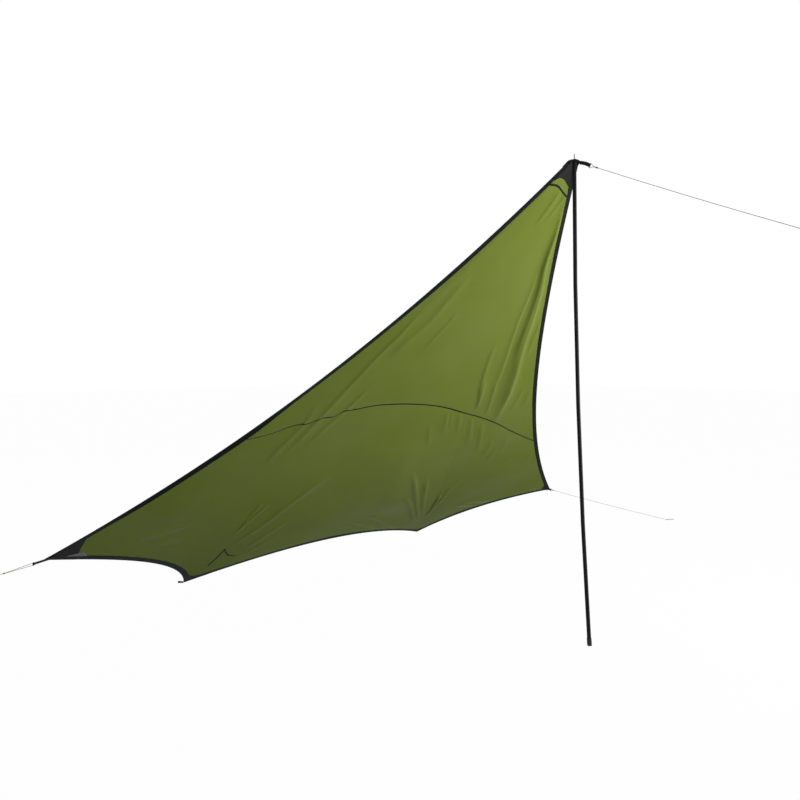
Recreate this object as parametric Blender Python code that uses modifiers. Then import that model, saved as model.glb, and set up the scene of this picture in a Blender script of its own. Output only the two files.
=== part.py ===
"""Five-cornered wing tarp pitched on one upright pole.

Metres, +Z up. The origin is the centre of the flat underside of the pole's foot cap. The ground is
z = 0, +Y runs from the open front towards the back edge that is pegged down, and +X is the right
hand of somebody who stands in the opening and looks in.

The canopy is one surface, canopy_point(u, v): u runs from the apex (0) down to the lower edges (1)
and v from the left long edge (0) to the right one (1). Panels, seam, bindings and corner patches
are neighbouring stretches of that surface, each with its own thickness.
"""

import math

import bmesh
import bpy
import numpy as np
from mathutils import Matrix, Vector

# Clearances
GAP = 0.0003
SEWN_GAP = 0.0004
SEAT_GAP = 0.0006
BEND_GAP = 0.0016

# Pole: four plug-together tubes, a foot cap and a tip plug with a spike
SECTION_COUNT = 4
SECTION_LENGTH = 0.568
TUBE_RADIUS = 0.0095
TUBE_WALL = 0.0012
SPIGOT_LENGTH = 0.070
SPIGOT_WALL = 0.0010
LEAN_BACK_DEG = 3.60
LEAN_RIGHT_DEG = 0.95
POLE_BOW = 0.021
FOOT_BASE = 0.005
FOOT_WALL = 0.0013
FOOT_HEIGHT = 0.030
FOOT_BEVEL = 0.0015
NECK_LENGTH = 0.012
PLUG_SHANK = 0.030
SPIKE_RADIUS = 0.00225
SPIKE_LENGTH = 0.040
SPIKE_POINT = 0.004
SPIKE_DEPTH = 0.020

# Eyelet in the apex
EYELET_HOLE_RADIUS = 0.006
EYELET_RADIUS = 0.011
EYELET_FLANGE = 0.0008
EYELET_BARREL = 0.0008

# Apex: the beak that covers the pole's tip, and the canopy's top line behind it
BEAK_THICKNESS = 0.0020
BEAK_OVERLAP = 0.024
BEAK_FLAT = 0.0130
BEAK_FRONT = 0.035
BEAK_FRONT_WIDTH = 0.016
BEAK_DROOP = 0.012
BEAK_DIP = 0.013
TOP_LINE_WIDTH = 0.090
TOP_LINE_BEHIND = 0.010
TOP_LINE_BELOW = 0.020
TOP_LINE_ARCH = (0.0, 0.006, 0.015)
TOP_LINE_ARCH_LENGTH = 0.30

# Where the corners stand when the tarp is pitched
LEFT_WING = (-1.873, 1.777, 0.405)
RIGHT_WING = (1.935, 1.623, 0.311)
LEFT_GROUND = (-0.928, 2.236)
RIGHT_GROUND = (1.045, 2.236)
GROUND_CORNER_HEIGHT = 0.003

# Hollow cut of the edges: how far each end's handle is drawn in from the straight line
LEFT_EDGE_BOW = (0.258, 0.282)
RIGHT_EDGE_BOW = (0.167, 0.275)
LEFT_WING_BOW = (0.087, 0.195)
BACK_EDGE_BOW = (0.177, 0.245)
RIGHT_WING_BOW = (0.126, 0.090)
EDGE_HANDLE = 2 / 3
LEFT_WING_HANDLE = 0.80

# Shares of v at which the lower edges meet the two ground corners
LEFT_GROUND_V = 0.27
RIGHT_GROUND_V = 0.73
BELLY_POWER = 2
CORNER_POWER = 6

# Cloth, tapes and patches
CLOTH_THICKNESS = 0.0008
TAPE_THICKNESS = 0.0022
BINDING_WIDTH = 0.028
WING_BINDING_WIDTH = 0.034
HEM_WIDTH = 0.027
SEAM_WIDTH = 0.007
SEAM_SHARES = (0.0, 0.10, 0.22, 0.38, 0.50, 0.60, 0.68, 0.77, 0.86, 0.93, 1.0)
SEAM_LENGTHS = (2.015, 1.877, 1.728, 1.667, 1.675, 1.709, 1.763, 1.841, 1.967, 2.138, 2.310)
CROSS_TAPE_WIDTH = 0.011
CROSS_TAPE_SHARES = (0.0, 0.20, 0.50, 0.71, 1.0)
CROSS_TAPE_LENGTHS = (0.1265, 0.1240, 0.1280, 0.1455, 0.1745)
CORNER_SEAM_WIDTH = 0.009
CORNER_SEAM_ABOVE = 0.222
CORNER_SEAM_DROPS = (11.0, 3.1)
CORNER_SEAM_CLEAR = 0.070
APEX_PATCH_SHARES = (0.0, 0.12, 0.25, 0.45, 0.75, 1.0)
APEX_PATCH_LENGTHS = (0.112, 0.106, 0.092, 0.089, 0.104, 0.130)
LEFT_PATCH_SIDE = 0.205
LEFT_PATCH_BASE = 0.180
RIGHT_PATCH_SIDE = 0.130
RIGHT_PATCH_BASE = 0.095
LEFT_GROUND_PATCH = (0.100, 0.145)
LEFT_GROUND_PATCH_HEIGHT = 0.048
RIGHT_GROUND_PATCH = (0.070, 0.075)
RIGHT_GROUND_PATCH_HEIGHT = 0.038

# Main folds
APEX_FOLD_HEIGHT = 0.011
APEX_FOLDS = ((0.60, 0.045), (0.76, 0.035), (0.90, 0.030))
CORNER_FOLD_HEIGHT = 0.012
CORNER_FOLD_REACH = 0.75
LEFT_CORNER_FOLDS = (62.0, 118.0)
RIGHT_CORNER_FOLDS = (52.0, 74.0, 96.0, 120.0)
CORNER_FOLD_SPREAD_DEG = 8.0
CANOPY_LENGTH_SCALE = 3.0
CANOPY_WIDTH_SCALE = 4.2

# Webbing straps
STRAP_WIDTH = 0.017
STRAP_THICKNESS = 0.0032
STRAP_EYE_RADIUS = 0.0032
STRAP_EYE_WALL = 0.0018
APEX_STRAP_LENGTH = 0.060
APEX_STRAP_TUCK = 0.0018
LEFT_STRAP_LENGTH = 0.062
RIGHT_STRAP_LENGTH = 0.020
WING_STRAP_OVERLAP = 0.036
PEG_STRAP_WIDTH = 0.010
PEG_STRAP_LENGTH = 0.034
PEG_EYE_RADIUS = 0.0055
PEG_STRAP_CLEAR = 0.0012

# Cords
CORD_RADIUS = 0.0011
CORD_EYE_SPREAD = 0.0017
KNOT_RADIUS = 0.0036
KNOT_LENGTH = 0.011
FRONT_CORD_DOWN_DEG = 23.5
LEFT_CORD_PLAN_DEG = 175.0
LEFT_CORD_DOWN_DEG = 10.6
FRONT_CORD_LENGTH = 0.982
FRONT_EYE_LENGTH = 0.038
RIGHT_CORD_END = (2.887, 1.117)
RIGHT_EYE_LENGTH = 0.018
LEFT_EYE_LENGTH = 0.122
LEFT_LINK_LENGTH = 0.014
LEFT_TAIL_LENGTH = 0.085
RUNNER_LENGTH = 0.030
RUNNER_RADIUS = 0.0045
END_LOOP_LENGTH = 0.060
END_LOOP_WIDTH = 0.020
CORD_SAG = 0.004

COLLECTION = "wing_tarp"
CUTTERS = "cutters"


# Scene, collections and materials


def clear_scene():
    """Removes whatever the open file holds."""
    for thing in list(bpy.data.objects):
        bpy.data.objects.remove(thing, do_unlink=True)
    for name in (COLLECTION, CUTTERS):
        old = bpy.data.collections.get(name)
        if old:
            bpy.data.collections.remove(old)


def collection(name):
    """The collection of that name, made when it is first asked for."""
    found = bpy.data.collections.get(name)
    if not found:
        found = bpy.data.collections.new(name)
        bpy.context.scene.collection.children.link(found)
    return found


def principled(name, colour, roughness, metallic=0.0):
    """A Principled material; the colour is linear."""
    made = bpy.data.materials.new(name)
    made.use_nodes = True
    shader = made.node_tree.nodes["Principled BSDF"]
    shader.inputs["Base Color"].default_value = (*colour, 1.0)
    shader.inputs["Roughness"].default_value = roughness
    shader.inputs["Metallic"].default_value = metallic
    return made


def make_materials():
    """The finishes of the real pieces."""
    return {
        "cloth": principled("green_nylon", (0.13, 0.19, 0.055), 0.55),
        "tape": principled("black_binding", (0.012, 0.012, 0.014), 0.75),
        "webbing": principled("black_webbing", (0.009, 0.009, 0.010), 0.85),
        "pole": principled("black_pole", (0.010, 0.010, 0.011), 0.35, 0.2),
        "plastic": principled("black_plastic", (0.011, 0.011, 0.012), 0.5),
        "steel": principled("bright_steel", (0.50, 0.50, 0.52), 0.3, 1.0),
        "cord": principled("grey_cord", (0.42, 0.42, 0.41), 0.8),
        "tan": principled("tan_cord", (0.45, 0.27, 0.12), 0.8),
        "runner": principled("olive_anodised", (0.12, 0.11, 0.04), 0.35, 0.8),
    }


def add_object(name, data, material, folder=COLLECTION):
    """Links new mesh or curve data as an object with one material."""
    made = bpy.data.objects.new(name, data)
    collection(folder).objects.link(made)
    if material:
        data.materials.append(material)
    return made


# Pole geometry


def pole_points():
    """The pole's joints from the foot's underside to the tip dome's centre, on a bowed line."""
    length = FOOT_BASE + SECTION_COUNT * SECTION_LENGTH + NECK_LENGTH
    rise = Vector((math.tan(math.radians(LEAN_RIGHT_DEG)), math.tan(math.radians(LEAN_BACK_DEG)), 1))
    rise.normalize()
    stations = [FOOT_BASE + i * SECTION_LENGTH for i in range(SECTION_COUNT + 1)]
    points = []
    for along in [0.0, *stations, length]:
        share = along / length
        points.append(rise * along + Vector((0, 4 * POLE_BOW * share * (1 - share), 0)))
    return points


POLE = pole_points()
DOME_CENTRE = POLE[-1]
UP = Vector((0, 0, 1))
EYELET_BOTTOM = math.sqrt(TUBE_RADIUS**2 - EYELET_HOLE_RADIUS**2) + GAP
PEAK = DOME_CENTRE + UP * (EYELET_BOTTOM + EYELET_FLANGE + GAP + BEAK_THICKNESS / 2)


def section_axis(index):
    """Direction upwards along pole section index, 0 at the foot."""
    return (POLE[index + 2] - POLE[index + 1]).normalized()


def ring(centre, axis, radius, sides):
    """Points of a circle about an axis, started from the world's X so that rings line up."""
    across = Vector((1, 0, 0))
    across = (across - axis * across.dot(axis)).normalized()
    other = axis.cross(across)
    turns = [2 * math.pi * i / sides for i in range(sides)]
    return [centre + radius * (math.cos(t) * across + math.sin(t) * other) for t in turns]


def turned(name, rings, material, sides=24, through=False, origin=None):
    """A turned piece whose axis may bend: rings are (centre, axis, radius), joined in order.

    A piece that is open right through joins its last ring to its first; any other has flat ends.
    Its own origin is the one given, on its joint where it moves, or else its first ring's centre.
    """
    origin = rings[0][0] if origin is None else origin
    shape = bmesh.new()
    loops = [[shape.verts.new(p) for p in ring(c - origin, a, r, sides)] for c, a, r in rings]
    pairs = list(zip(loops, loops[1:]))
    if through:
        pairs.append((loops[-1], loops[0]))
    for one, two in pairs:
        for i in range(sides):
            j = (i + 1) % sides
            shape.faces.new((one[i], one[j], two[j], two[i]))
    if not through:
        shape.faces.new(loops[0])
        shape.faces.new(loops[-1])
    bmesh.ops.recalc_face_normals(shape, faces=shape.faces)
    mesh = bpy.data.meshes.new(name)
    shape.to_mesh(mesh)
    shape.free()
    mesh.shade_smooth()
    mesh.set_sharp_from_angle(angle=math.radians(40))
    made = add_object(name, mesh, material)
    made.location = origin
    return made


def build_pole(finish):
    """Foot cap, four tube sections with spigots, and the tip plug with the spike set in it.

    The top section, its plug and the spike lean about the dome's centre; every lower section
    slides out of the one above from the joint at its own top.
    """
    bore = TUBE_RADIUS - TUBE_WALL
    spigot = bore - GAP
    foot, first = POLE[0], section_axis(0)
    cap = TUBE_RADIUS + GAP + FOOT_WALL
    turned(
        "pole_foot_cap",
        [
            (foot, UP, cap - FOOT_BEVEL),
            (foot + UP * FOOT_BEVEL, UP, cap),
            (POLE[1] + first * FOOT_HEIGHT, first, cap),
            (POLE[1] + first * FOOT_HEIGHT, first, TUBE_RADIUS + GAP),
            (POLE[1] - first * GAP, first, TUBE_RADIUS + GAP),
        ],
        finish["plastic"],
        origin=POLE[2],
    )
    for index in range(SECTION_COUNT):
        low, high, axis = POLE[index + 1], POLE[index + 2], section_axis(index)
        joint = DOME_CENTRE
        inner = [(low, axis, bore), (high, axis, bore)]
        outer = [(high, axis, TUBE_RADIUS), (low, axis, TUBE_RADIUS)]
        if index < SECTION_COUNT - 1:
            joint = high
            above = section_axis(index + 1)
            seat = high - above * GAP
            shoulder = TUBE_WALL
            inner = [
                (low, axis, bore),
                (seat - above * (shoulder + TUBE_WALL), above, bore),
                (seat, above, spigot - SPIGOT_WALL),
                (seat + above * SPIGOT_LENGTH, above, spigot - SPIGOT_WALL),
            ]
            outer = [
                (seat + above * SPIGOT_LENGTH, above, spigot),
                (seat, above, spigot),
                (seat, above, TUBE_RADIUS),
                (low, axis, TUBE_RADIUS),
            ]
        number = SECTION_COUNT - index
        name, rings = f"pole_section_{number}", [*outer, *inner]
        turned(name, rings, finish["pole"], through=True, origin=joint)
    axis = section_axis(SECTION_COUNT - 1)
    top = POLE[-2]
    turns = [math.radians(t) for t in (8, 22, 36, 50, 64, 77)]
    radius = TUBE_RADIUS
    dome = [(DOME_CENTRE + axis * radius * math.sin(t), axis, radius * math.cos(t)) for t in turns]
    dome = [d for d in dome if d[2] > SPIKE_RADIUS * 1.4]
    hole = SPIKE_RADIUS + GAP
    collar = DOME_CENTRE + axis * math.sqrt(TUBE_RADIUS**2 - hole**2)
    floor = top - axis * SPIKE_DEPTH
    turned(
        "pole_tip_plug",
        [
            (top - axis * PLUG_SHANK, axis, spigot),
            (top + axis * GAP, axis, spigot),
            (top + axis * GAP, axis, TUBE_RADIUS),
            (DOME_CENTRE, axis, TUBE_RADIUS),
            *dome,
            (collar, axis, hole),
            (floor, axis, hole),
        ],
        finish["plastic"],
        origin=DOME_CENTRE,
    )
    turned(
        "pole_tip_spike",
        [
            (floor + axis * GAP, axis, SPIKE_RADIUS),
            (DOME_CENTRE + axis * (SPIKE_LENGTH - SPIKE_POINT), axis, SPIKE_RADIUS),
            (DOME_CENTRE + axis * SPIKE_LENGTH, axis, SPIKE_RADIUS / 3),
        ],
        finish["steel"],
        sides=16,
        origin=DOME_CENTRE,
    )


# The canopy's surface


def array(point):
    """A point as a numpy row."""
    return np.array(tuple(point), float)


def cubic(handles, t):
    """Points of a cubic Bezier curve at the parameters t."""
    a, b, c, d = handles
    t = np.asarray(t, float)[..., None]
    return (1 - t) ** 3 * a + 3 * (1 - t) ** 2 * t * b + 3 * (1 - t) * t * t * c + t**3 * d


def hollow_edge(start, end, towards, bows, handle=EDGE_HANDLE):
    """A hollow-cut edge: the straight line with both handles drawn towards a point."""
    along = (end - start) / np.linalg.norm(end - start)
    inward = towards - (start + end) / 2
    inward = inward - along * (inward @ along)
    inward = inward / np.linalg.norm(inward)
    first = start + (end - start) / 3 + inward * bows[0]
    second = start + (end - start) * handle + inward * bows[1]
    return start, first, second, end


TOP_MIDDLE = array(PEAK) + np.array([0, TOP_LINE_BEHIND, -TOP_LINE_BELOW])
TOP_LEFT = TOP_MIDDLE - np.array([TOP_LINE_WIDTH / 2, 0, 0])
TOP_RIGHT = TOP_MIDDLE + np.array([TOP_LINE_WIDTH / 2, 0, 0])
WING_L = np.array(LEFT_WING)
WING_R = np.array(RIGHT_WING)
GROUND_L = np.array([*LEFT_GROUND, GROUND_CORNER_HEIGHT])
GROUND_R = np.array([*RIGHT_GROUND, GROUND_CORNER_HEIGHT])
MIDDLE = (TOP_MIDDLE + GROUND_L + GROUND_R) / 3
LEFT_EDGE = hollow_edge(TOP_LEFT, WING_L, MIDDLE, LEFT_EDGE_BOW)
RIGHT_EDGE = hollow_edge(TOP_RIGHT, WING_R, MIDDLE, RIGHT_EDGE_BOW)
LEFT_LOWER = hollow_edge(WING_L, GROUND_L, TOP_MIDDLE, LEFT_WING_BOW, LEFT_WING_HANDLE)
BACK_LOWER = hollow_edge(GROUND_L, GROUND_R, TOP_MIDDLE, BACK_EDGE_BOW)
RIGHT_LOWER = hollow_edge(GROUND_R, WING_R, TOP_MIDDLE, RIGHT_WING_BOW)
EDGE_LENGTH = np.linalg.norm(WING_L - TOP_LEFT)
SIDE_STEP = 1e-4


def lower_edge(v):
    """The lower edges from the left wing through both ground corners to the right wing."""
    v = np.asarray(v, float)
    left = cubic(LEFT_LOWER, np.clip(v / LEFT_GROUND_V, 0, 1))
    back = cubic(BACK_LOWER, np.clip((v - LEFT_GROUND_V) / (RIGHT_GROUND_V - LEFT_GROUND_V), 0, 1))
    right = cubic(RIGHT_LOWER, np.clip((v - RIGHT_GROUND_V) / (1 - RIGHT_GROUND_V), 0, 1))
    column = v[..., None]
    return np.where(column < LEFT_GROUND_V, left, np.where(column < RIGHT_GROUND_V, back, right))


def taut_point(u, v):
    """The canopy without folds: lines between the long edges, bent down to the lower edges.

    The round part of the lower edges spreads up the canopy with the square of u; what makes them
    kink at the ground corners stays near the corners. At the top the pole's tip arches the lines.
    """
    u, v = np.broadcast_arrays(np.asarray(u, float), np.asarray(v, float))
    across = v[..., None]
    ruled = (1 - across) * cubic(LEFT_EDGE, u) + across * cubic(RIGHT_EDGE, u)
    chord = (1 - across) * WING_L + across * WING_R
    belly = cubic((WING_L, GROUND_L, GROUND_R, WING_R), v)
    down = u[..., None]
    arch = (4 * v * (1 - v) * np.clip(1 - u * EDGE_LENGTH / TOP_LINE_ARCH_LENGTH, 0, 1) ** 2)[..., None]
    ruled = ruled + arch * np.array(TOP_LINE_ARCH)
    return ruled + down**BELLY_POWER * (belly - chord) + down**CORNER_POWER * (lower_edge(v) - belly)


def slopes(u, v):
    """Changes of the taut canopy along u and along v, at the long edges those just inside them."""
    v = np.clip(v, SIDE_STEP, 1 - SIDE_STEP)
    along = (taut_point(u + SIDE_STEP, v) - taut_point(u - SIDE_STEP, v)) / (2 * SIDE_STEP)
    across = (taut_point(u, v + SIDE_STEP) - taut_point(u, v - SIDE_STEP)) / (2 * SIDE_STEP)
    return along, across


def unit(rows):
    """Each row at length one."""
    return rows / np.linalg.norm(rows, axis=-1, keepdims=True)


def underside(u, v):
    """Unit normals that point out of the sheltered side."""
    along, across = slopes(u, v)
    return unit(np.cross(along, across))


def ease(x):
    """0 below 0, 1 above 1, smooth between."""
    x = np.clip(x, 0, 1)
    return x * x * (3 - 2 * x)


def corner_folds(u, v, corner_v, angles):
    """Folds that fan out of a ground corner, in metres of height: round ridges at set angles."""
    aside = (v - corner_v) * CANOPY_WIDTH_SCALE
    above = (1 - u) * CANOPY_LENGTH_SCALE
    reach = np.hypot(aside, above) / CORNER_FOLD_REACH
    angle = np.degrees(np.arctan2(above, aside + 1e-9))
    ridges = sum(np.exp(-(((angle - a) / CORNER_FOLD_SPREAD_DEG) ** 2)) for a in angles)
    return CORNER_FOLD_HEIGHT * ridges * ease(reach / 0.35) * (1 - ease((reach - 0.35) / 0.65))


def fold_height(u, v):
    """How far the folds lift the canopy off its taut surface; nothing at the edges."""
    ridges = sum(np.exp(-(((v - place) / spread) ** 2)) for place, spread in APEX_FOLDS)
    falling = APEX_FOLD_HEIGHT * ridges * ease((u - 0.08) / 0.25) * (1 - ease((u - 0.45) / 0.35))
    corners = corner_folds(u, v, LEFT_GROUND_V, LEFT_CORNER_FOLDS)
    corners = corners + corner_folds(u, v, RIGHT_GROUND_V, RIGHT_CORNER_FOLDS)
    sides = ease(v / 0.06) * ease((1 - v) / 0.06)
    return (falling + corners) * sides * ease((1 - u) / 0.03)


def canopy_point(u, v, off=0.0):
    """A point of the folded canopy, off metres out of its underside."""
    u, v = np.broadcast_arrays(np.asarray(u, float), np.asarray(v, float))
    return taut_point(u, v) + underside(u, v) * (fold_height(u, v) + off)[..., None]


# Where one piece of the canopy ends and the next begins


def side_inset(u, width, right=False):
    """The share of v that a tape of that width takes from a long edge."""
    edge = 1.0 if right else 0.0
    along, across = slopes(u, np.full_like(u, edge))
    return width / np.linalg.norm(np.cross(across, unit(along)), axis=-1)


def lower_inset(v, width):
    """The share of u that a tape of that width takes from the lower edge."""
    along, across = slopes(np.ones_like(v), v)
    return width / np.linalg.norm(np.cross(along, unit(across)), axis=-1)


def between_bindings(u, q, gap=SEWN_GAP):
    """v for the share q of the way from the left binding to the right one."""
    left = side_inset(u, BINDING_WIDTH + gap)
    right = side_inset(u, BINDING_WIDTH + gap, right=True)
    return left + (1 - left - right) * q


def share_of(v):
    """The inverse of between_bindings at the lower edge, for one v."""
    ends = between_bindings(np.array([1.0, 1.0]), np.array([0.0, 1.0]))
    return float((v - ends[0]) / (ends[1] - ends[0]))


def lower_length(v):
    """Metres of lower edge for each unit of v, as an average between the wings."""
    left = np.linalg.norm(GROUND_L - WING_L) / LEFT_GROUND_V
    back = np.linalg.norm(GROUND_R - GROUND_L) / (RIGHT_GROUND_V - LEFT_GROUND_V)
    right = np.linalg.norm(WING_R - GROUND_R) / (1 - RIGHT_GROUND_V)
    return left if v < LEFT_GROUND_V else back if v < RIGHT_GROUND_V else right


def lower_stops():
    """Shares q at which the pieces along the lower edge begin and end."""
    left, back, right = lower_length(0), lower_length(0.5), lower_length(1)
    places = [
        LEFT_PATCH_BASE / left,
        LEFT_GROUND_V - LEFT_GROUND_PATCH[0] / left,
        LEFT_GROUND_V,
        LEFT_GROUND_V + LEFT_GROUND_PATCH[1] / back,
        RIGHT_GROUND_V - RIGHT_GROUND_PATCH[0] / back,
        RIGHT_GROUND_V,
        RIGHT_GROUND_V + RIGHT_GROUND_PATCH[1] / right,
        1 - RIGHT_PATCH_BASE / right,
    ]
    return [0.0, *[share_of(p) for p in places], 1.0]


STOPS = lower_stops()
COLUMNS = (3, 8, 3, 3, 12, 3, 3, 8, 3)
WING_PATCH_ROWS = 4


def lower_border(q):
    """u where the lower panel ends: above the tapes, and higher above each corner patch."""
    v = between_bindings(np.ones_like(q), q)
    binding = lower_inset(v, WING_BINDING_WIDTH)
    hem = lower_inset(v, HEM_WIDTH)
    tape = np.where(q < STOPS[3], binding, hem)
    left = LEFT_PATCH_SIDE / EDGE_LENGTH * np.clip(1 - q / STOPS[1], 0, 1)
    right = RIGHT_PATCH_SIDE / EDGE_LENGTH * np.clip(1 - (1 - q) / (1 - STOPS[8]), 0, 1)
    one = LEFT_GROUND_PATCH_HEIGHT / CANOPY_LENGTH_SCALE * np.interp(q, STOPS[2:5], [0, 1, 0])
    two = RIGHT_GROUND_PATCH_HEIGHT / CANOPY_LENGTH_SCALE * np.interp(q, STOPS[5:8], [0, 1, 0])
    return 1 - np.maximum(tape, np.maximum(np.maximum(left, right), np.maximum(one, two)))


def drawn_line(shares, lengths, q):
    """u at the share q of a smooth line through places that are given as lengths from the top."""
    shares, lengths = np.array(shares), np.array(lengths)
    slopes_at = np.gradient(lengths, shares)
    part = np.clip(np.searchsorted(shares, q) - 1, 0, len(shares) - 2)
    step = shares[part + 1] - shares[part]
    t = (q - shares[part]) / step
    bend = (1 - t) * slopes_at[part] - t * slopes_at[part + 1]
    rise = lengths[part + 1] - lengths[part]
    across = lengths[part] + t * rise + t * (1 - t) * (step * bend - (1 - 2 * t) * rise)
    return across / EDGE_LENGTH


def seam_line(q):
    """u of the arched seam between the two panels."""
    return drawn_line(SEAM_SHARES, SEAM_LENGTHS, q)


def apex_border(q):
    """u of the arched lower border of the apex patch."""
    return drawn_line(APEX_PATCH_SHARES, APEX_PATCH_LENGTHS, q)


# Sheets


def sheet(name, points, thickness, material):
    """A sheet from a grid of points, given its thickness by Solidify on both sides alike."""
    rows, columns = points.shape[:2]
    index = np.arange(rows * columns).reshape(rows, columns)
    quads = np.stack([index[:-1, :-1], index[:-1, 1:], index[1:, 1:], index[1:, :-1]], -1)
    mesh = bpy.data.meshes.new(name)
    mesh.from_pydata(points.reshape(-1, 3).tolist(), [], quads.reshape(-1, 4).tolist())
    mesh.update()
    mesh.shade_smooth()
    made = add_object(name, mesh, material)
    wall = made.modifiers.new("thickness", "SOLIDIFY")
    wall.thickness = thickness
    wall.offset = 0.0
    wall.use_even_offset = True
    return made


def spaced(stops, counts):
    """Shares with every stop among them and counts steps between each two."""
    parts = [np.linspace(a, b, n, endpoint=False) for a, b, n in zip(stops, stops[1:], counts)]
    return np.concatenate([*parts, [stops[-1]]])


def region(borders, rows, q, off=0.0):
    """A grid of canopy points at the shares q, with rows steps from each border to the next."""
    u = [borders[0](q)[None]]
    for one, two, count in zip(borders, borders[1:], rows):
        down = np.linspace(0, 1, count + 1)[1:, None]
        u.append(one(q) * (1 - down) + two(q) * down)
    u = np.concatenate(u)
    return canopy_point(u, between_bindings(u, np.broadcast_to(q, u.shape)), off)


def raised(border, metres):
    """A border moved down the canopy by some metres."""
    return lambda q: border(q) + metres / CANOPY_LENGTH_SCALE


def top_line(q):
    """u of the canopy's top line."""
    return np.zeros_like(q)


def beak_line(q):
    """u of the beak's lower edge, on the outside of the patch."""
    return np.full_like(q, BEAK_OVERLAP / EDGE_LENGTH)


def bottom_line(q):
    """u of the lower edges."""
    return np.ones_like(q)


def cross_tape_top(q):
    """u of the upper side of the tape below the apex patch."""
    return drawn_line(CROSS_TAPE_SHARES, CROSS_TAPE_LENGTHS, q)


def corner_seam_top(q):
    """u of the upper side of the bent seam over the left ground corner."""
    crest = STOPS[3] + (STOPS[4] - STOPS[3]) * 2 / 3
    drop = np.where(q < crest, *CORNER_SEAM_DROPS) * np.abs(q - crest)
    bent = 1 - (CORNER_SEAM_ABOVE - drop) / EDGE_LENGTH
    return np.minimum(bent, lower_border(q) - CORNER_SEAM_CLEAR / EDGE_LENGTH)


def canopy_layers():
    """The pieces from the top line down to the tapes: name, borders, rows, thickness, finish."""
    half = SEAM_WIDTH / 2
    above_seam = raised(seam_line, -half - SEWN_GAP)
    below_seam = raised(seam_line, half + SEWN_GAP)
    seam = (raised(seam_line, -half), raised(seam_line, half))
    below_patch = raised(apex_border, SEWN_GAP)
    above_tapes = raised(lower_border, -SEWN_GAP)
    cross = (cross_tape_top, raised(cross_tape_top, CROSS_TAPE_WIDTH))
    corner = (corner_seam_top, raised(corner_seam_top, CORNER_SEAM_WIDTH))
    upper = (below_patch, *cross, above_seam)
    lower = (below_seam, *corner, above_tapes)
    return [
        ("apex_patch", (top_line, beak_line, apex_border), (2, 3), TAPE_THICKNESS, "tape"),
        ("canopy_upper_panel", upper, (1, 1, 10), CLOTH_THICKNESS, "cloth"),
        ("panel_seam", seam, (1,), TAPE_THICKNESS, "tape"),
        ("canopy_lower_panel", lower, (10, 1, 1), CLOTH_THICKNESS, "cloth"),
    ]


def build_canopy(finish):
    """The panels, the seam tape between them, the apex patch, and the tapes sewn on below."""
    columns = spaced(STOPS, COLUMNS)
    for name, borders, rows, thickness, slot in canopy_layers():
        sheet(name, region(borders, rows, columns), thickness, finish[slot])
    thickness = TAPE_THICKNESS / 2
    off = (CLOTH_THICKNESS + thickness) / 2 + SEAT_GAP
    cross = (cross_tape_top, raised(cross_tape_top, CROSS_TAPE_WIDTH))
    sheet("apex_cross_tape", region(cross, (1,), columns, off), thickness, finish["tape"])
    corner = (corner_seam_top, raised(corner_seam_top, CORNER_SEAM_WIDTH))
    crest = sum(COLUMNS[:3]) + 2
    near = columns[crest - 1 : crest + 3]
    sheet("left_corner_seam", region(corner, (1,), near, off), thickness, finish["tape"])


def side_stations(q):
    """u at every row of the pieces that meet a long edge's binding, at that share q."""
    layers = [(borders, rows) for _, borders, rows, _, _ in canopy_layers()]
    layers.append(((lower_border, bottom_line), (WING_PATCH_ROWS,)))
    share = np.array([q])
    runs = []
    for borders, rows in layers:
        for one, two, count in zip(borders, borders[1:], rows):
            runs.append(np.linspace(one(share), two(share), count + 1))
    return np.unique(np.concatenate(runs))[:, None]


def build_edges(finish):
    """Bindings on the long edges, and the tapes and corner patches along the lower edge."""
    width = np.array([0.0, 0.5, 1.0])
    u = side_stations(0.0)
    left = canopy_point(u, side_inset(u, BINDING_WIDTH) * width)
    sheet("binding_left_edge", left, TAPE_THICKNESS, finish["tape"])
    u = side_stations(1.0)
    right = canopy_point(u, 1 - side_inset(u, BINDING_WIDTH, right=True) * width[::-1])
    sheet("binding_right_edge", right, TAPE_THICKNESS, finish["tape"])
    pieces = [
        ("left_wing_patch", 0, 1, WING_PATCH_ROWS),
        ("binding_left_wing", 1, 2, 1),
        ("left_ground_patch", 2, 4, 3),
        ("back_hem", 4, 5, 1),
        ("right_ground_patch", 5, 7, 3),
        ("right_wing_hem", 7, 8, 1),
        ("right_wing_patch", 8, 9, WING_PATCH_ROWS),
    ]
    apart = SEWN_GAP / lower_length(0.5)
    for name, first, last, rows in pieces:
        columns = spaced(STOPS[first : last + 1], COLUMNS[first:last])
        columns[0] += apart if first else 0.0
        columns[-1] -= apart if last < len(COLUMNS) else 0.0
        grid = region((lower_border, bottom_line), (rows,), columns)
        sheet(name, grid, TAPE_THICKNESS, finish["tape"])


# Apex beak and eyelet


def beak_row(middle, shares, half, droop, back, flat):
    """One row of the beak: flat around the middle, drooping and swept back towards its sides."""
    outer = np.clip(np.abs(shares) * half - flat, 0, None) / (half - flat)
    row = np.stack([shares * half, -back * shares**2, -droop * outer**1.5], -1)
    return array(middle) + row


def beak_columns(u):
    """v across the canopy, at the bindings' columns and seven places between them."""
    inner = between_bindings(u, np.linspace(0, 1, 9)[1:-1])
    left = side_inset(u, BINDING_WIDTH) * np.array([0.0, 0.5, 1.0])
    right = 1 - side_inset(u, BINDING_WIDTH, right=True) * np.array([1.0, 0.5, 0.0])
    return np.concatenate([left, inner, right], -1)


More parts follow.
